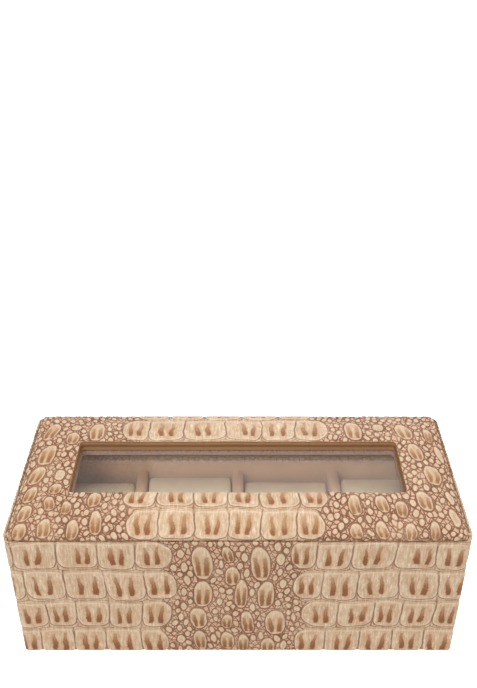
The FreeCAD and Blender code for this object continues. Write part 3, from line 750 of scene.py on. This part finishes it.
class Path:
    """Polyline with rounded right-angled corners, read by length."""

    def __init__(self, corners, side=1):
        points = []
        places = [np.array(corner[:2], float) for corner in corners]
        for index, corner in enumerate(corners):
            here = places[index]
            radius = corner[2] if len(corner) > 2 else 0
            if not radius:
                points.append(here)
                continue
            back = places[index - 1] - here
            ahead = places[index + 1] - here
            back /= np.hypot(*back)
            ahead /= np.hypot(*ahead)
            centre = here + radius * (back + ahead)
            for turn in np.linspace(0, math.pi / 2, ARC_STEPS + 1):
                points.append(centre - radius * (ahead * math.cos(turn) + back * math.sin(turn)))
        self.points = np.array(points)
        steps = np.hypot(*np.diff(self.points, axis=0).T)
        self.lengths = np.concatenate(([0.0], np.cumsum(steps)))
        directions = np.gradient(self.points, axis=0)
        directions /= np.hypot(*directions.T)[:, None]
        self.normals = side * np.stack((-directions[:, 1], directions[:, 0]), axis=1)
        self.length = self.lengths[-1]

    def at(self, length):
        return [np.interp(length, self.lengths, self.points[:, axis]) for axis in (0, 1)]

    def normal_at(self, length):
        parts = [np.interp(length, self.lengths, self.normals[:, axis]) for axis in (0, 1)]
        size = np.hypot(*parts)
        return [part / size for part in parts]

    def length_at(self, axis, value):
        """First length at which the path reaches a value on one axis."""
        gaps = self.points[:, axis] - value
        for index in range(len(gaps) - 1):
            if gaps[index] * gaps[index + 1] <= 0 and gaps[index] != gaps[index + 1]:
                share = gaps[index] / (gaps[index] - gaps[index + 1])
                return self.lengths[index] + share * (self.lengths[index + 1] - self.lengths[index])
        raise ValueError("the path doesn't reach %s" % value)


def sheet_grid(across, up):
    """A grid and its points' shares along both sides."""
    bm = bmesh.new()
    bmesh.ops.create_grid(bm, x_segments=across, y_segments=up, size=0.5)
    bm.verts.ensure_lookup_table()
    shares = np.array([vert.co[:2] for vert in bm.verts]) + 0.5
    return bm, np.clip(shares[:, 0], 0, 1), np.clip(shares[:, 1], 0, 1)


def lay(bm, positions, outward):
    """Puts the grid's points in place, welds its closed sides and turns its faces outwards."""
    for vert, place in zip(bm.verts, positions.tolist()):
        vert.co = place
    bmesh.ops.remove_doubles(bm, verts=bm.verts, dist=0.02)
    bmesh.ops.dissolve_degenerate(bm, edges=bm.edges, dist=0.01)
    bm.normal_update()
    facing = sum(face.normal.dot(Vector(outward(*face.calc_center_median()))) for face in list(bm.faces)[::97])
    if facing < 0:
        bmesh.ops.reverse_faces(bm, faces=bm.faces)
        bm.normal_update()


def make_piece(bm, name):
    mesh = bpy.data.meshes.new(name)
    bm.to_mesh(mesh)
    bm.free()
    mesh.shade_smooth()
    piece = bpy.data.objects.new(name, mesh)
    bpy.context.scene.collection.objects.link(piece)
    return piece


def emboss_skin(bm, positions, u, v, scales, seed, outward, name, fold):
    """Lays the grid in place, welds it, presses the pattern in and makes the object."""
    hide = bpy.context.scene.watchbox_hide
    layer_u = bm.verts.layers.float.new("sheet_u")
    layer_v = bm.verts.layers.float.new("sheet_v")
    layer_fold_shade = bm.verts.layers.float.new("sheet_fold_shade")
    for vert, here_u, here_v, here_fold_shade in zip(bm.verts, u.tolist(), v.tolist(), fold.tolist()):
        vert[layer_u] = here_u
        vert[layer_v] = here_v
        vert[layer_fold_shade] = here_fold_shade
    lay(bm, positions, outward)
    u = np.array([vert[layer_u] for vert in bm.verts])
    v = np.array([vert[layer_v] for vert in bm.verts])
    fold = np.array([vert[layer_fold_shade] for vert in bm.verts])
    base = np.array([vert.co[:] for vert in bm.verts])
    normals = np.array([vert.normal[:] for vert in bm.verts])
    pattern = emboss(u, v, scales, seed)
    # The fold share is painted shade in the material; the relief is also flattened there
    pattern["fold"] = fold
    depth = hide.relief * (1 - pattern["rise"]) * (1 - np.clip(2 * fold, 0, 1))
    moved = (base - normals * depth[:, None]) * MM
    for layer in ("sheet_u", "sheet_v", "sheet_fold_shade"):
        bm.verts.layers.float.remove(bm.verts.layers.float[layer])
    for vert, place in zip(bm.verts, moved.tolist()):
        vert.co = place
    piece = make_piece(bm, name)
    mesh = piece.data
    ones = np.ones(len(u))
    for attribute, parts in HIDE_LAYERS:
        layer = mesh.attributes.new(attribute, "FLOAT_COLOR", "POINT")
        values = np.stack([pattern[part] for part in parts] + [ones], axis=1)
        layer.data.foreach_set("color", values.astype(np.float32).ravel())
    return piece


def wrapped_wall(name, outline, profile, limits, scales, seed, u_zero, v_zero, spacing, shade_from=1e3):
    """Skin over an upright wall: its plan is the outline, its section the profile of inset and height."""
    across = round(outline.length / spacing)
    up = round(profile.length / spacing)
    bm, s, t = sheet_grid(across, up)
    along = s * outline.length
    climb = t * profile.length
    x, y = outline.at(along)
    nx, ny = outline.normal_at(along)
    inset, z = profile.at(climb)
    x0, x1, y0, y1 = limits
    x = np.clip(x - nx * inset, x0 + inset, x1 - inset)
    y = np.clip(y - ny * inset, y0 + inset, y1 - inset)
    middle_y = (max(y0, -200) + min(y1, 200)) / 2
    centre = np.array(((x0 + x1) / 2, middle_y, z.mean()))

    def outward(px, py, pz):
        nearest = min(((abs(px - x0), (-1, 0, 0)), (abs(px - x1), (1, 0, 0)),
                       (abs(py - y0), (0, -1, 0)), (abs(py - y1), (0, 1, 0))))
        return nearest[1]

    # Painted shade where the hide turns in past the given inset, as in the dark groove under the padded lid
    fold = step(shade_from, shade_from + 0.4, inset)
    return emboss_skin(bm, np.stack((x, y, z), axis=1), along - u_zero, climb - v_zero, scales, seed,
                       outward, name, fold)


def chaikin(points, rounds=3):
    """Cuts a polyline's corners, its ends kept."""
    points = np.array(points, float)
    for _ in range(rounds):
        cut = [points[0]]
        for start, end in zip(points, points[1:]):
            cut.append(0.75 * start + 0.25 * end)
            cut.append(0.25 * start + 0.75 * end)
        cut.append(points[-1])
        points = np.array(cut)
    return points


# Padded lid: distance in from its edge, and height over the boards
LID_SECTION = (
    (3.0, 0.12), (1.2, 0.12), (0.35, 0.25), (0.0, 1.0), (0.05, 2.5), (1.1, 4.0), (3.6, 5.1), (8.5, 6.1),
    (16.0, 7.0), (22.5, 7.45), (28.6, 7.5), (30.6, 7.5), (31.0, 6.9), (31.0, 5.2), (31.0, 3.4), (31.0, 1.6),
    (31.0, 0.1),
)
# Painted shade down the window's inner wall: heights over the boards, and how dark the hide is painted at each
WINDOW_SHADE = ((0.0, 0.8, 2.0, 2.6, 4.4, 5.0, 6.0, 6.35, 6.8, 7.1),
                (0.6, 0.5, 0.5, 0.82, 0.82, 0.45, 0.45, 0.95, 0.95, 0.0))
SIDE_GROOVE = 0.8         # the panel's lower edge keeps off the walls' outer edge at the sides
FRONT_REACH = 0.6         # and comes out over the drawer's front
LIP_REACH = 1.0           # the window's front lip leans in over the glass
BOARD_TOP = span("panel_board")[1][2]
BOARD_CLEARANCE = 0.8     # the hide never comes nearer to the board than this
LID_CORNER = 4.0
LID_CORNER_GROWTH = 0.2
LID_CORNER_FULL = 20.0    # inset where the contours are roundest
WINDOW_CORNER = 2.5
CORNER_STEPS = 26


def ring(x0, x1, y0, y1, radius, sides, steps):
    """Points and outward normals of one closed contour, with as many points for any size."""
    points = []
    normals = []
    corners = ((x1 - radius, y0 + radius, -90), (x1 - radius, y1 - radius, 0),
               (x0 + radius, y1 - radius, 90), (x0 + radius, y0 + radius, 180))
    for index, (cx, cy, start) in enumerate(corners):
        angles = np.radians(np.linspace(start, start + 90, steps, endpoint=False))
        points.append(np.stack((cx + radius * np.cos(angles), cy + radius * np.sin(angles)), axis=1))
        normals.append(np.stack((np.cos(angles), np.sin(angles)), axis=1))
        end = math.radians(start + 90)
        direction = np.array((math.cos(end), math.sin(end)))
        ahead = corners[(index + 1) % 4]
        first = np.array((cx, cy)) + radius * direction
        last = np.array(ahead[:2]) + radius * direction
        share = np.linspace(0, 1, sides[index % 2], endpoint=False)[:, None]
        points.append(first + (last - first) * share)
        normals.append(np.repeat(direction[None], sides[index % 2], axis=0))
    points = np.concatenate(points)
    normals = np.concatenate(normals)
    return np.vstack((points, points[:1])), np.vstack((normals, normals[:1]))


def lid_panel(spacing):
    """Padded top: contours from its tucked lower edge over the crown and down into the window."""
    section = chaikin(LID_SECTION)
    steps = np.hypot(*np.diff(section, axis=0).T)
    lengths = np.concatenate(([0.0], np.cumsum(steps)))
    up = round(lengths[-1] / spacing)
    x1 = PANEL_HIGH[0]
    y0, y1 = PANEL_LOW[1], PANEL_HIGH[1]
    window_x = GLASS_HIGH[0] - GLASS_PAST_WINDOW
    side_border = x1 - window_x
    end_border = GLASS_LOW[1] + GLASS_PAST_WINDOW - y0
    sides = (round((y1 - y0 - 4) / spacing), round((2 * x1 - 4) / spacing))
    corner_steps = CORNER_STEPS
    across = sum(sides) * 2 + 4 * corner_steps
    bm, s, t = sheet_grid(across, up)
    column = np.rint(s * across).astype(int)
    row = np.rint(t * up).astype(int)
    positions = np.zeros((len(s), 3))
    sheet = np.zeros((len(s), 2))
    shade = np.zeros(len(s))
    for level in range(up + 1):
        length = lengths[-1] * level / up
        inset = np.interp(length, lengths, section[:, 0])
        height = np.interp(length, lengths, section[:, 1])
        grown = LID_CORNER + LID_CORNER_GROWTH * min(inset, LID_CORNER_FULL)
        past = max(0.0, (inset - LID_CORNER_FULL) / (side_border - LID_CORNER_FULL))
        radius = grown + (WINDOW_CORNER - grown) * past
        scale_y = end_border / side_border
        low_roll = (1 - min(1.0, max(0.0, (height - 1.5) / 4.0))) * (inset < 15)
        side = inset + SIDE_GROOVE * low_roll
        reach = LIP_REACH * float(step(24.0, 30.0, inset)) - FRONT_REACH * low_roll
        points, normals = ring(side - x1, x1 - side, y0 + inset * scale_y + reach,
                               y1 - inset * scale_y, radius, sides, corner_steps)
        hits = np.flatnonzero(row == level)
        which = column[hits]
        positions[hits, :2] = points[which]
        positions[hits, 2] = PANEL_LOW[2] + height
        outer_extra = max(0.0, OUTER_TURN - length) if length < OUTER_TURN else 0.0
        inner_extra = max(0.0, length - (lengths[-1] - INNER_TURN))
        plan = points[which] + normals[which] * 0.0
        sheet[hits] = plan + normals[which] * (0.62 * outer_extra - 0.9 * inner_extra)
        # Painted shade: the hide is darkened where it rolls under the panel's lower edge, and down the window's inner
        # wall except at the front lip
        shade[hits] = FOLD_SHADE * float(np.interp(length, (1.4, 2.9), (1.0, 0.0)))
        if inset > 27:
            lip = (points[which][:, 1] < y0 + end_border + 1.5) * (height > 5.5)
            shade[hits] = np.where(lip, 0.0, np.interp(height, *WINDOW_SHADE))
    flutter = 0.16 * np.sin(positions[:, 0] / 17.0 + 1.3) * np.sin(positions[:, 1] / 13.0 + 0.4)
    flutter += 0.1 * np.sin(positions[:, 0] / 6.1 + positions[:, 1] / 9.0)
    lift = step(1.5, 5.0, positions[:, 2] - PANEL_LOW[2])
    drawn = step(0.74, 1.0, np.abs(positions[:, 0]) / x1) * step(32.0, 53.0, positions[:, 1])
    at_back = 0.7 * step(24.0, 40.0, positions[:, 1]) + 0.8 * step(36.0, 50.0, positions[:, 1])
    over_board = positions[:, 2] - PANEL_LOW[2] > 2.6
    positions[:, 2] += (flutter - 0.26 - 0.9 * drawn - at_back) * lift
    floor = BOARD_TOP + BOARD_CLEARANCE
    positions[:, 2] = np.where(over_board, np.maximum(positions[:, 2], floor), positions[:, 2])

    def outward(px, py, pz):
        return (0, 0, 1)

    return bm, positions, sheet[:, 0], sheet[:, 1], outward, shade


FOLD_SHADE = 1.0          # painted shade on the hide where it turns under
WADDING_IN = 1.3          # from the hide's face to the wadding
OUTER_TURN = 9.0          # length of the lid's outer roll
INNER_TURN = 6.5          # length of the lid's inner wall


def dress(node, material):
    """A CAD node keeps its shape and gets a finish."""
    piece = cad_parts[node]
    piece.data.materials.clear()
    piece.data.materials.append(material)


def settle(piece, material, body, slot, *nodes):
    piece.data.materials.append(material)
    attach(piece, body)
    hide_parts(*nodes)


FRONT_DROP = 0.6          # the front's folded edge hangs this far below its board


class WATCHBOX_OT_front_hide(bpy.types.Operator):
    """Wraps the drawer's full-height front in embossed hide"""
    bl_idname = "watchbox.front_hide"
    bl_label = "Front hide"

    def execute(self, context):
        hide = context.scene.watchbox_hide
        back = FRONT_HIGH[1]
        outline = Path(((FRONT_LOW[0] + 1, back), (FRONT_LOW[0], back), (FRONT_LOW[0], FRONT_LOW[1], 2.5),
                        (FRONT_HIGH[0], FRONT_LOW[1], 2.5), (FRONT_HIGH[0], back), (FRONT_HIGH[0] - 1, back)), -1)
        foot = FRONT_LOW[2] - FRONT_DROP
        profile = Path(((5, FRONT_LOW[2] + 1), (5, FRONT_LOW[2] - 0.1), (1.2, foot), (0, foot, 0.5),
                        (0, FRONT_HIGH[2], 0.7), (5, FRONT_HIGH[2]), (5, FRONT_HIGH[2] - 1)))
        skin = wrapped_wall("drawer_front_hide", outline, profile,
                            (FRONT_LOW[0], FRONT_HIGH[0], FRONT_LOW[1], 1e3), front_scales(), 5,
                            outline.length_at(0, 0.0), profile.length_at(1, 50.0) - 50.0, hide.spacing)
        settle(skin, hide_material("hide_front"), "drawer", "croc_leather_front", "drawer_front_leather")
        return {"FINISHED"}


class WATCHBOX_OT_lid_hide(bpy.types.Operator):
    """Lays embossed hide over the padded lid, round the window and down its walls"""
    bl_idname = "watchbox.lid_hide"
    bl_label = "Padded lid hide"

    def execute(self, context):
        hide = context.scene.watchbox_hide
        bm, positions, u, v, outward, shade = lid_panel(hide.spacing * 1.05)
        skin = emboss_skin(bm, positions, u, v, lid_scales(), 7, outward, "padded_lid_hide", shade)
        settle(skin, hide_material("hide_lid", 0.06, 0.74), "lid", "croc_leather_panel", "panel_leather")
        bm, positions, u, v, outward, shade = lid_panel(2.5)
        lay(bm, positions, outward)
        for vert, normal in [(vert, vert.normal.copy()) for vert in bm.verts]:
            vert.co = (vert.co - normal * WADDING_IN) * MM
        wadding = make_piece(bm, "lid_wadding")
        settle(wadding, suede_material("wadding", srgb(226, 220, 208), 0.1), "lid", "foam", "panel_padding")
        return {"FINISHED"}


class WATCHBOX_OT_skirt_hide(bpy.types.Operator):
    """Wraps the lid's three side walls"""
    bl_idname = "watchbox.skirt_hide"
    bl_label = "Lid wall hide"

    def execute(self, context):
        hide = context.scene.watchbox_hide
        x0, x1 = SKIRT_LOW[0], SKIRT_HIGH[0]
        y0, y1 = SKIRT_LOW[1], SKIRT_HIGH[1]
        outline = Path(((x0 + WALL, y0 + 1), (x0 + WALL, y0), (x0, y0, 0.9), (x0, y1, 5), (x1, y1, 5), (x1, y0, 0.9),
                        (x1 - WALL, y0), (x1 - WALL, y0 + 1)))
        z0, z1 = SKIRT_LOW[2], SKIRT_HIGH[2]
        profile = Path(((WALL, z0 + 1), (WALL, z0), (0, z0, 0.8), (0, z1, 0.6), (1.5, z1, 0.3), (1.5, z1 - 2.2),
                        (WALL, z1 - 2.2), (WALL, z1 - 3.0)))
        scales = wall_scales(z0 - 8, z1 + 9, (100.5, 70.0, 45.0), ((-196, -130), (-36, 30), (118, 186)), 250, 31)
        upper = belly_row(100.5, 124.0, np.linspace(-240, 240, 22), np.random.default_rng(3))
        # The last number is the inset past which the hide gets painted shade, in the groove under the padded lid
        skin = wrapped_wall("lid_wall_hide", outline, profile, (x0, x1, y0, y1), scales + upper, 9,
                            outline.length / 2, profile.length_at(1, 80.0) - 80.0, hide.spacing * 1.1, 1.4)
        settle(skin, hide_material("hide_skirt"), "lid", "croc_leather_skirt", "lid_skirt_leather")
        return {"FINISHED"}


class WATCHBOX_OT_case_hide(bpy.types.Operator):
    """Wraps the case's two sides and back"""
    bl_idname = "watchbox.case_hide"
    bl_label = "Case hide"

    def execute(self, context):
        hide = context.scene.watchbox_hide
        x0, x1 = CASE_LOW[0], CASE_HIGH[0]
        y0, y1 = CASE_LOW[1], CASE_HIGH[1]
        outline = Path(((x0 + CASE_WALL, y0 + 1), (x0 + CASE_WALL, y0), (x0, y0, 0.9), (x0, y1, 4), (x1, y1, 4),
                        (x1, y0, 0.9), (x1 - CASE_WALL, y0), (x1 - CASE_WALL, y0 + 1)))
        z0, z1 = CASE_LOW[2], CASE_HIGH[2]
        profile = Path(((3.5, z0 - 0.05), (0, z0 - 0.05, 0.7), (0, z1, 0.8), (CASE_WALL, z1), (CASE_WALL, z1 - 1)))
        scales = wall_scales(z0 - 6, z1 + 8, (94.0, 71.0, 45.3, 21.2, -5.0),
                             ((-190, -126), (-34, 32), (122, 190)), 250, 41)
        skin = wrapped_wall("case_hide", outline, profile, (x0, x1, y0, y1), scales, 13,
                            outline.length / 2, profile.length_at(1, 40.0) - 40.0, hide.spacing * 1.15)
        settle(skin, hide_material("hide_case"), "case", "croc_leather_case", "case_leather")
        return {"FINISHED"}


class WATCHBOX_OT_linings(bpy.types.Operator):
    """Gives the linings and dividers their suede"""
    bl_idname = "watchbox.linings"
    bl_label = "Suede linings"

    def execute(self, context):
        colour = tuple(context.scene.watchbox_inside.suede)
        suede = suede_material("suede_lining", colour)
        for node in ("tray_floor_lining", "tray_wall_lining", "drawer_front_lining"):
            dress(node, suede)
        # The lid's lining is a darker copy of the suede lining: painted shade
        dress("lid_lining", suede_material("suede_lid_shaded", srgb(196, 160, 134)))
        for index in range(1, 4):
            dress("divider_%d" % index, suede)
        dress("tray_rim_leather", hide_plain("hide_tray_rim"))
        return {"FINISHED"}


def hide_plain(name):
    """Smooth hide for narrow turned edges."""
    hide = bpy.context.scene.watchbox_hide
    material = new_material(name)
    tree = material.node_tree
    where = object_place(tree)
    cloud = noise(tree, where, 300.0, 4.0, 0.6)
    cells = add(tree, "ShaderNodeTexVoronoi", {"Vector": where, "Scale": 260.0}, feature="DISTANCE_TO_EDGE")
    crease = ramp(tree, cells.outputs["Distance"], 0.0, 0.14, 1.0, 0.0)
    # Painted light: both colours are paler than the outer hide's cream, so the rim reads lighter inside the box's shade
    base = blend_colour(tree, ramp(tree, cloud, 0.35, 0.7), srgb(240, 216, 190), srgb(222, 192, 164))
    base = blend_colour(tree, math_node(tree, "MULTIPLY", crease, 0.42), base, tuple(hide.line))
    shader = add(tree, "ShaderNodeBsdfPrincipled",
                 {"Base Color": base, "Roughness": 0.55, "Specular IOR Level": 0.3,
                  "Normal": bump(tree, math_node(tree, "SUBTRACT", 1.0, crease), 0.6, 0.0003)})
    return finish_material(material, shader.outputs[0])


# Each cushion: how far it is drawn out sideways and down from its CAD box, in millimetres
CUSHION_FITS = (
    ("cushion_1", 0.5, 0.5, 1.5), ("cushion_2", 2.3, -1.8, -1.4), ("cushion_3", 2.3, 1.5, -0.4),
    ("cushion_4", 0.5, -1.0, -1.0),
)
CUSHION_START = 0.97      # the share of its size that a cushion has before it swells
CUSHION_SWELL = 5.0
CUSHION_SQUARE = 0.6      # how far its corners are pushed back out
CUSHION_FRAMES = 20
CUSHION_VOXEL = 3.6


class WATCHBOX_OT_cushions(bpy.types.Operator):
    """Makes the four watch cushions, swollen as filled cloth"""
    bl_idname = "watchbox.cushions"
    bl_label = "Watch cushions"

    def execute(self, context):
        colour = tuple(context.scene.watchbox_inside.velvet)
        velvet = suede_material("velvet_cushion", colour, 0.35)
        for name, wider, lower, back in CUSHION_FITS:
            low, high = span(name)
            low = Vector((low[0] - wider, low[1], low[2]))
            high = Vector((high[0] + wider, high[1] - back, high[2] - lower))
            piece = pillow("watch_" + name, low, high)
            swell(piece, low, high)
            settle(piece, velvet, name, "suede_cushion", name)
        return {"FINISHED"}


def pillow(name, low, high):
    """Square-cornered pillow, a little small, before its cloth is let out."""
    bm = bmesh.new()
    bmesh.ops.create_cube(bm, size=1.0)
    size = (high - low) * CUSHION_START
    bmesh.ops.scale(bm, vec=size, verts=bm.verts)
    bmesh.ops.bevel(bm, geom=list(bm.edges), offset=3.5, offset_type="OFFSET", affect="EDGES", segments=3,
                    profile=0.5, material=-1)
    bmesh.ops.subdivide_edges(bm, edges=[edge for edge in bm.edges if edge.calc_length() > 12.0], cuts=9,
                              use_grid_fill=True)
    bmesh.ops.translate(bm, vec=(low + high) / 2, verts=bm.verts)
    bmesh.ops.scale(bm, vec=(MM, MM, MM), verts=bm.verts)
    return make_piece(bm, name)


def swell(piece, low, high):
    """Remeshes the pillow, fills it under pressure and caps how far its cloth may move."""
    scene = bpy.context.scene
    bpy.context.view_layer.objects.active = piece
    remesh = piece.modifiers.new("remesh", "REMESH")
    remesh.mode = "VOXEL"
    remesh.voxel_size = CUSHION_VOXEL * MM
    apply_modifier(piece, remesh)
    rest = [vert.co.copy() for vert in piece.data.vertices]
    cloth = piece.modifiers.new("cloth", "CLOTH")
    settings = cloth.settings
    settings.quality = 6
    settings.mass = 0.25
    settings.tension_stiffness = 28
    settings.compression_stiffness = 28
    settings.bending_stiffness = 2.5
    settings.use_pressure = True
    settings.uniform_pressure_force = 4.0
    settings.effector_weights.gravity = 0.0
    cloth.point_cache.frame_start = 1
    cloth.point_cache.frame_end = CUSHION_FRAMES
    for index in range(1, CUSHION_FRAMES + 1):
        scene.frame_set(index)
    apply_modifier(piece, cloth)
    scene.frame_set(1)
    inner_low, inner_high = low * MM, high * MM
    for vert, before in zip(piece.data.vertices, rest):
        move = vert.co - before
        if move.length > CUSHION_SWELL * MM:
            move *= CUSHION_SWELL * MM / move.length
        place = before + move
        middle, half = (inner_high + inner_low) / 2, (inner_high - inner_low) / 2
        share = max(abs(place[axis] - middle[axis]) / half[axis] for axis in range(3))
        place = middle + (place - middle) * min(1.12, share ** -CUSHION_SQUARE)
        for axis in range(3):
            place[axis] = soft_limit(place[axis], inner_low[axis], inner_high[axis])
        vert.co = place
    finer = piece.modifiers.new("finer", "SUBSURF")
    finer.levels = 1
    finer.render_levels = 1
    apply_modifier(piece, finer)
    piece.data.shade_smooth()


def soft_limit(value, low, high, ease=0.0012):
    """Presses a value against its limits without a hard fold."""
    if value > high - ease:
        return high - ease + ease * math.tanh((value - high + ease) / ease)
    if value < low + ease:
        return low + ease - ease * math.tanh((low + ease - value) / ease)
    return value


def apply_modifier(piece, modifier):
    """Bakes one modifier into the mesh."""
    shown = piece.evaluated_get(bpy.context.evaluated_depsgraph_get())
    mesh = bpy.data.meshes.new_from_object(shown)
    piece.modifiers.remove(modifier)
    old = piece.data
    piece.data = mesh
    bpy.data.meshes.remove(old)


class WATCHBOX_OT_window(bpy.types.Operator):
    """Glazes the window"""
    bl_idname = "watchbox.window"
    bl_label = "Window"

    def execute(self, context):
        dress("window_glass", glass_material("window_glass_clear"))
        return {"FINISHED"}


class WATCHBOX_OT_boards(bpy.types.Operator):
    """Finishes boards, felt and runners"""
    bl_idname = "watchbox.boards"
    bl_label = "Boards"

    def execute(self, context):
        inside = context.scene.watchbox_inside
        board = board_material("wrapped_board", tuple(inside.board))
        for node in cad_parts:
            if node.endswith("_board") or node in ("drawer_floor", "drawer_catch", "drawer_stop"):
                dress(node, board)
        dress("lid_frame_board", board_material("window_frame", srgb(204, 172, 154)))
        dress("drawer_runners", board_material("waxed_runner", srgb(190, 150, 104)))
        dress("base_felt", suede_material("base_felt", tuple(inside.felt), 0.1))
        return {"FINISHED"}


class WATCHBOX_OT_hinges(bpy.types.Operator):
    """Finishes the hinges, their pins and screws"""
    bl_idname = "watchbox.hinges"
    bl_label = "Hinges"

    def execute(self, context):
        brass = metal_material("brushed_brass", tuple(context.scene.watchbox_inside.brass))
        steel = metal_material("steel_pin", srgb(176, 172, 166), 0.22)
        for node in ("hinge_case_leaves", "hinge_lid_leaves"):
            dress(node, brass)
        for node in ("hinge_pins", "hinge_case_screws", "hinge_lid_screws"):
            dress(node, steel)
        return {"FINISHED"}


def pale_for_the_eye(tree, strength):
    """One for what the camera, a mirror or glass sees, and nothing for the light itself."""
    light = add(tree, "ShaderNodeLightPath")
    seen = math_node(tree, "MAXIMUM", light.outputs["Is Camera Ray"], light.outputs["Is Glossy Ray"])
    seen = math_node(tree, "MAXIMUM", seen, light.outputs["Is Transmission Ray"])
    return math_node(tree, "MULTIPLY", seen, strength)


class WATCHBOX_OT_studio(bpy.types.Operator):
    """Sets the floor, the light and the camera"""
    bl_idname = "watchbox.studio"
    bl_label = "Studio"

    def execute(self, context):
        scene = context.scene
        studio = scene.watchbox_studio
        scene.view_settings.view_transform = "Standard"
        world = bpy.data.worlds.new("pale_room")
        world.use_nodes = True
        tree = world.node_tree
        tree.nodes.clear()
        sky = add(tree, "ShaderNodeBackground", {"Color": (0.985, 0.99, 1.0, 1.0), "Strength": studio.sky})
        white = add(tree, "ShaderNodeBackground", {"Color": (1.0, 1.0, 1.0, 1.0), "Strength": 1.0})
        mix = add(tree, "ShaderNodeMixShader", {0: pale_for_the_eye(tree, 1.0), 1: sky.outputs[0], 2: white.outputs[0]})
        add(tree, "ShaderNodeOutputWorld", {"Surface": mix.outputs[0]})
        scene.world = world

        bm = bmesh.new()
        bmesh.ops.create_grid(bm, x_segments=1, y_segments=1, size=4.0)
        mesh = bpy.data.meshes.new("floor")
        bm.to_mesh(mesh)
        bm.free()
        floor = bpy.data.objects.new("floor", mesh)
        scene.collection.objects.link(floor)
        material = new_material("pale_floor")
        tree = material.node_tree
        paper = add(tree, "ShaderNodeBsdfDiffuse", {"Color": (0.9, 0.9, 0.9, 1.0)})
        glow = add(tree, "ShaderNodeEmission", {"Color": (1.0, 1.0, 1.0, 1.0), "Strength": pale_for_the_eye(tree, 0.8)})
        both = add(tree, "ShaderNodeAddShader", {0: paper.outputs[0], 1: glow.outputs[0]})
        floor.data.materials.append(finish_material(material, both.outputs[0]))

        for name, place, size, power in (
                ("soft_box_key", (-0.5, -1.15, 1.2), 0.7, studio.key),
                ("soft_box_top", (0.1, -0.25, 1.8), 0.9, studio.top),
                ("soft_box_back", (0.4, 1.5, 0.9), 1.2, studio.back)):
            lamp = bpy.data.lights.new(name, "AREA")
            lamp.size = size
            lamp.energy = power
            light = bpy.data.objects.new(name, lamp)
            light.location = place
            light.rotation_euler = (-Vector(place)).to_track_quat("-Z", "Y").to_euler()
            scene.collection.objects.link(light)

        camera = bpy.data.objects.new("camera", bpy.data.cameras.new("camera"))
        camera.data.sensor_fit = "HORIZONTAL"
        camera.data.lens = studio.lens
        camera.data.clip_start = 0.01
        camera.location = (0.0004, studio.camera_y, studio.camera_z)
        camera.rotation_euler = (math.pi / 2 - studio.pitch, 0, 0)
        scene.collection.objects.link(camera)
        scene.camera = camera
        return {"FINISHED"}


class WATCHBOX_PT_parts(bpy.types.Panel):
    """Lists the box's pieces"""
    bl_idname = "WATCHBOX_PT_parts"
    bl_label = "Watch box"
    bl_space_type = "VIEW_3D"
    bl_region_type = "UI"
    bl_category = "Watch box"

    def draw(self, context):
        for operator in OPERATORS:
            self.layout.operator(operator.bl_idname)


GROUPS = (
    ("watchbox_hide", WATCHBOX_PG_hide),
    ("watchbox_inside", WATCHBOX_PG_inside),
    ("watchbox_studio", WATCHBOX_PG_studio),
)
OPERATORS = (
    WATCHBOX_OT_studio, WATCHBOX_OT_front_hide, WATCHBOX_OT_lid_hide, WATCHBOX_OT_skirt_hide,
    WATCHBOX_OT_case_hide, WATCHBOX_OT_linings, WATCHBOX_OT_cushions, WATCHBOX_OT_window,
    WATCHBOX_OT_boards, WATCHBOX_OT_hinges,
)


def register():
    for name, group in GROUPS:
        bpy.utils.register_class(group)
        setattr(bpy.types.Scene, name, bpy.props.PointerProperty(type=group))
    for operator in OPERATORS:
        bpy.utils.register_class(operator)
    bpy.utils.register_class(WATCHBOX_PT_parts)


def unregister():
    bpy.utils.unregister_class(WATCHBOX_PT_parts)
    for operator in reversed(OPERATORS):
        bpy.utils.unregister_class(operator)
    for name, group in reversed(GROUPS):
        delattr(bpy.types.Scene, name)
        bpy.utils.unregister_class(group)


def main():
    register()
    for operator in OPERATORS:
        family, action = operator.bl_idname.split(".")
        getattr(getattr(bpy.ops, family), action)()


if __name__ == "__main__":
    main()
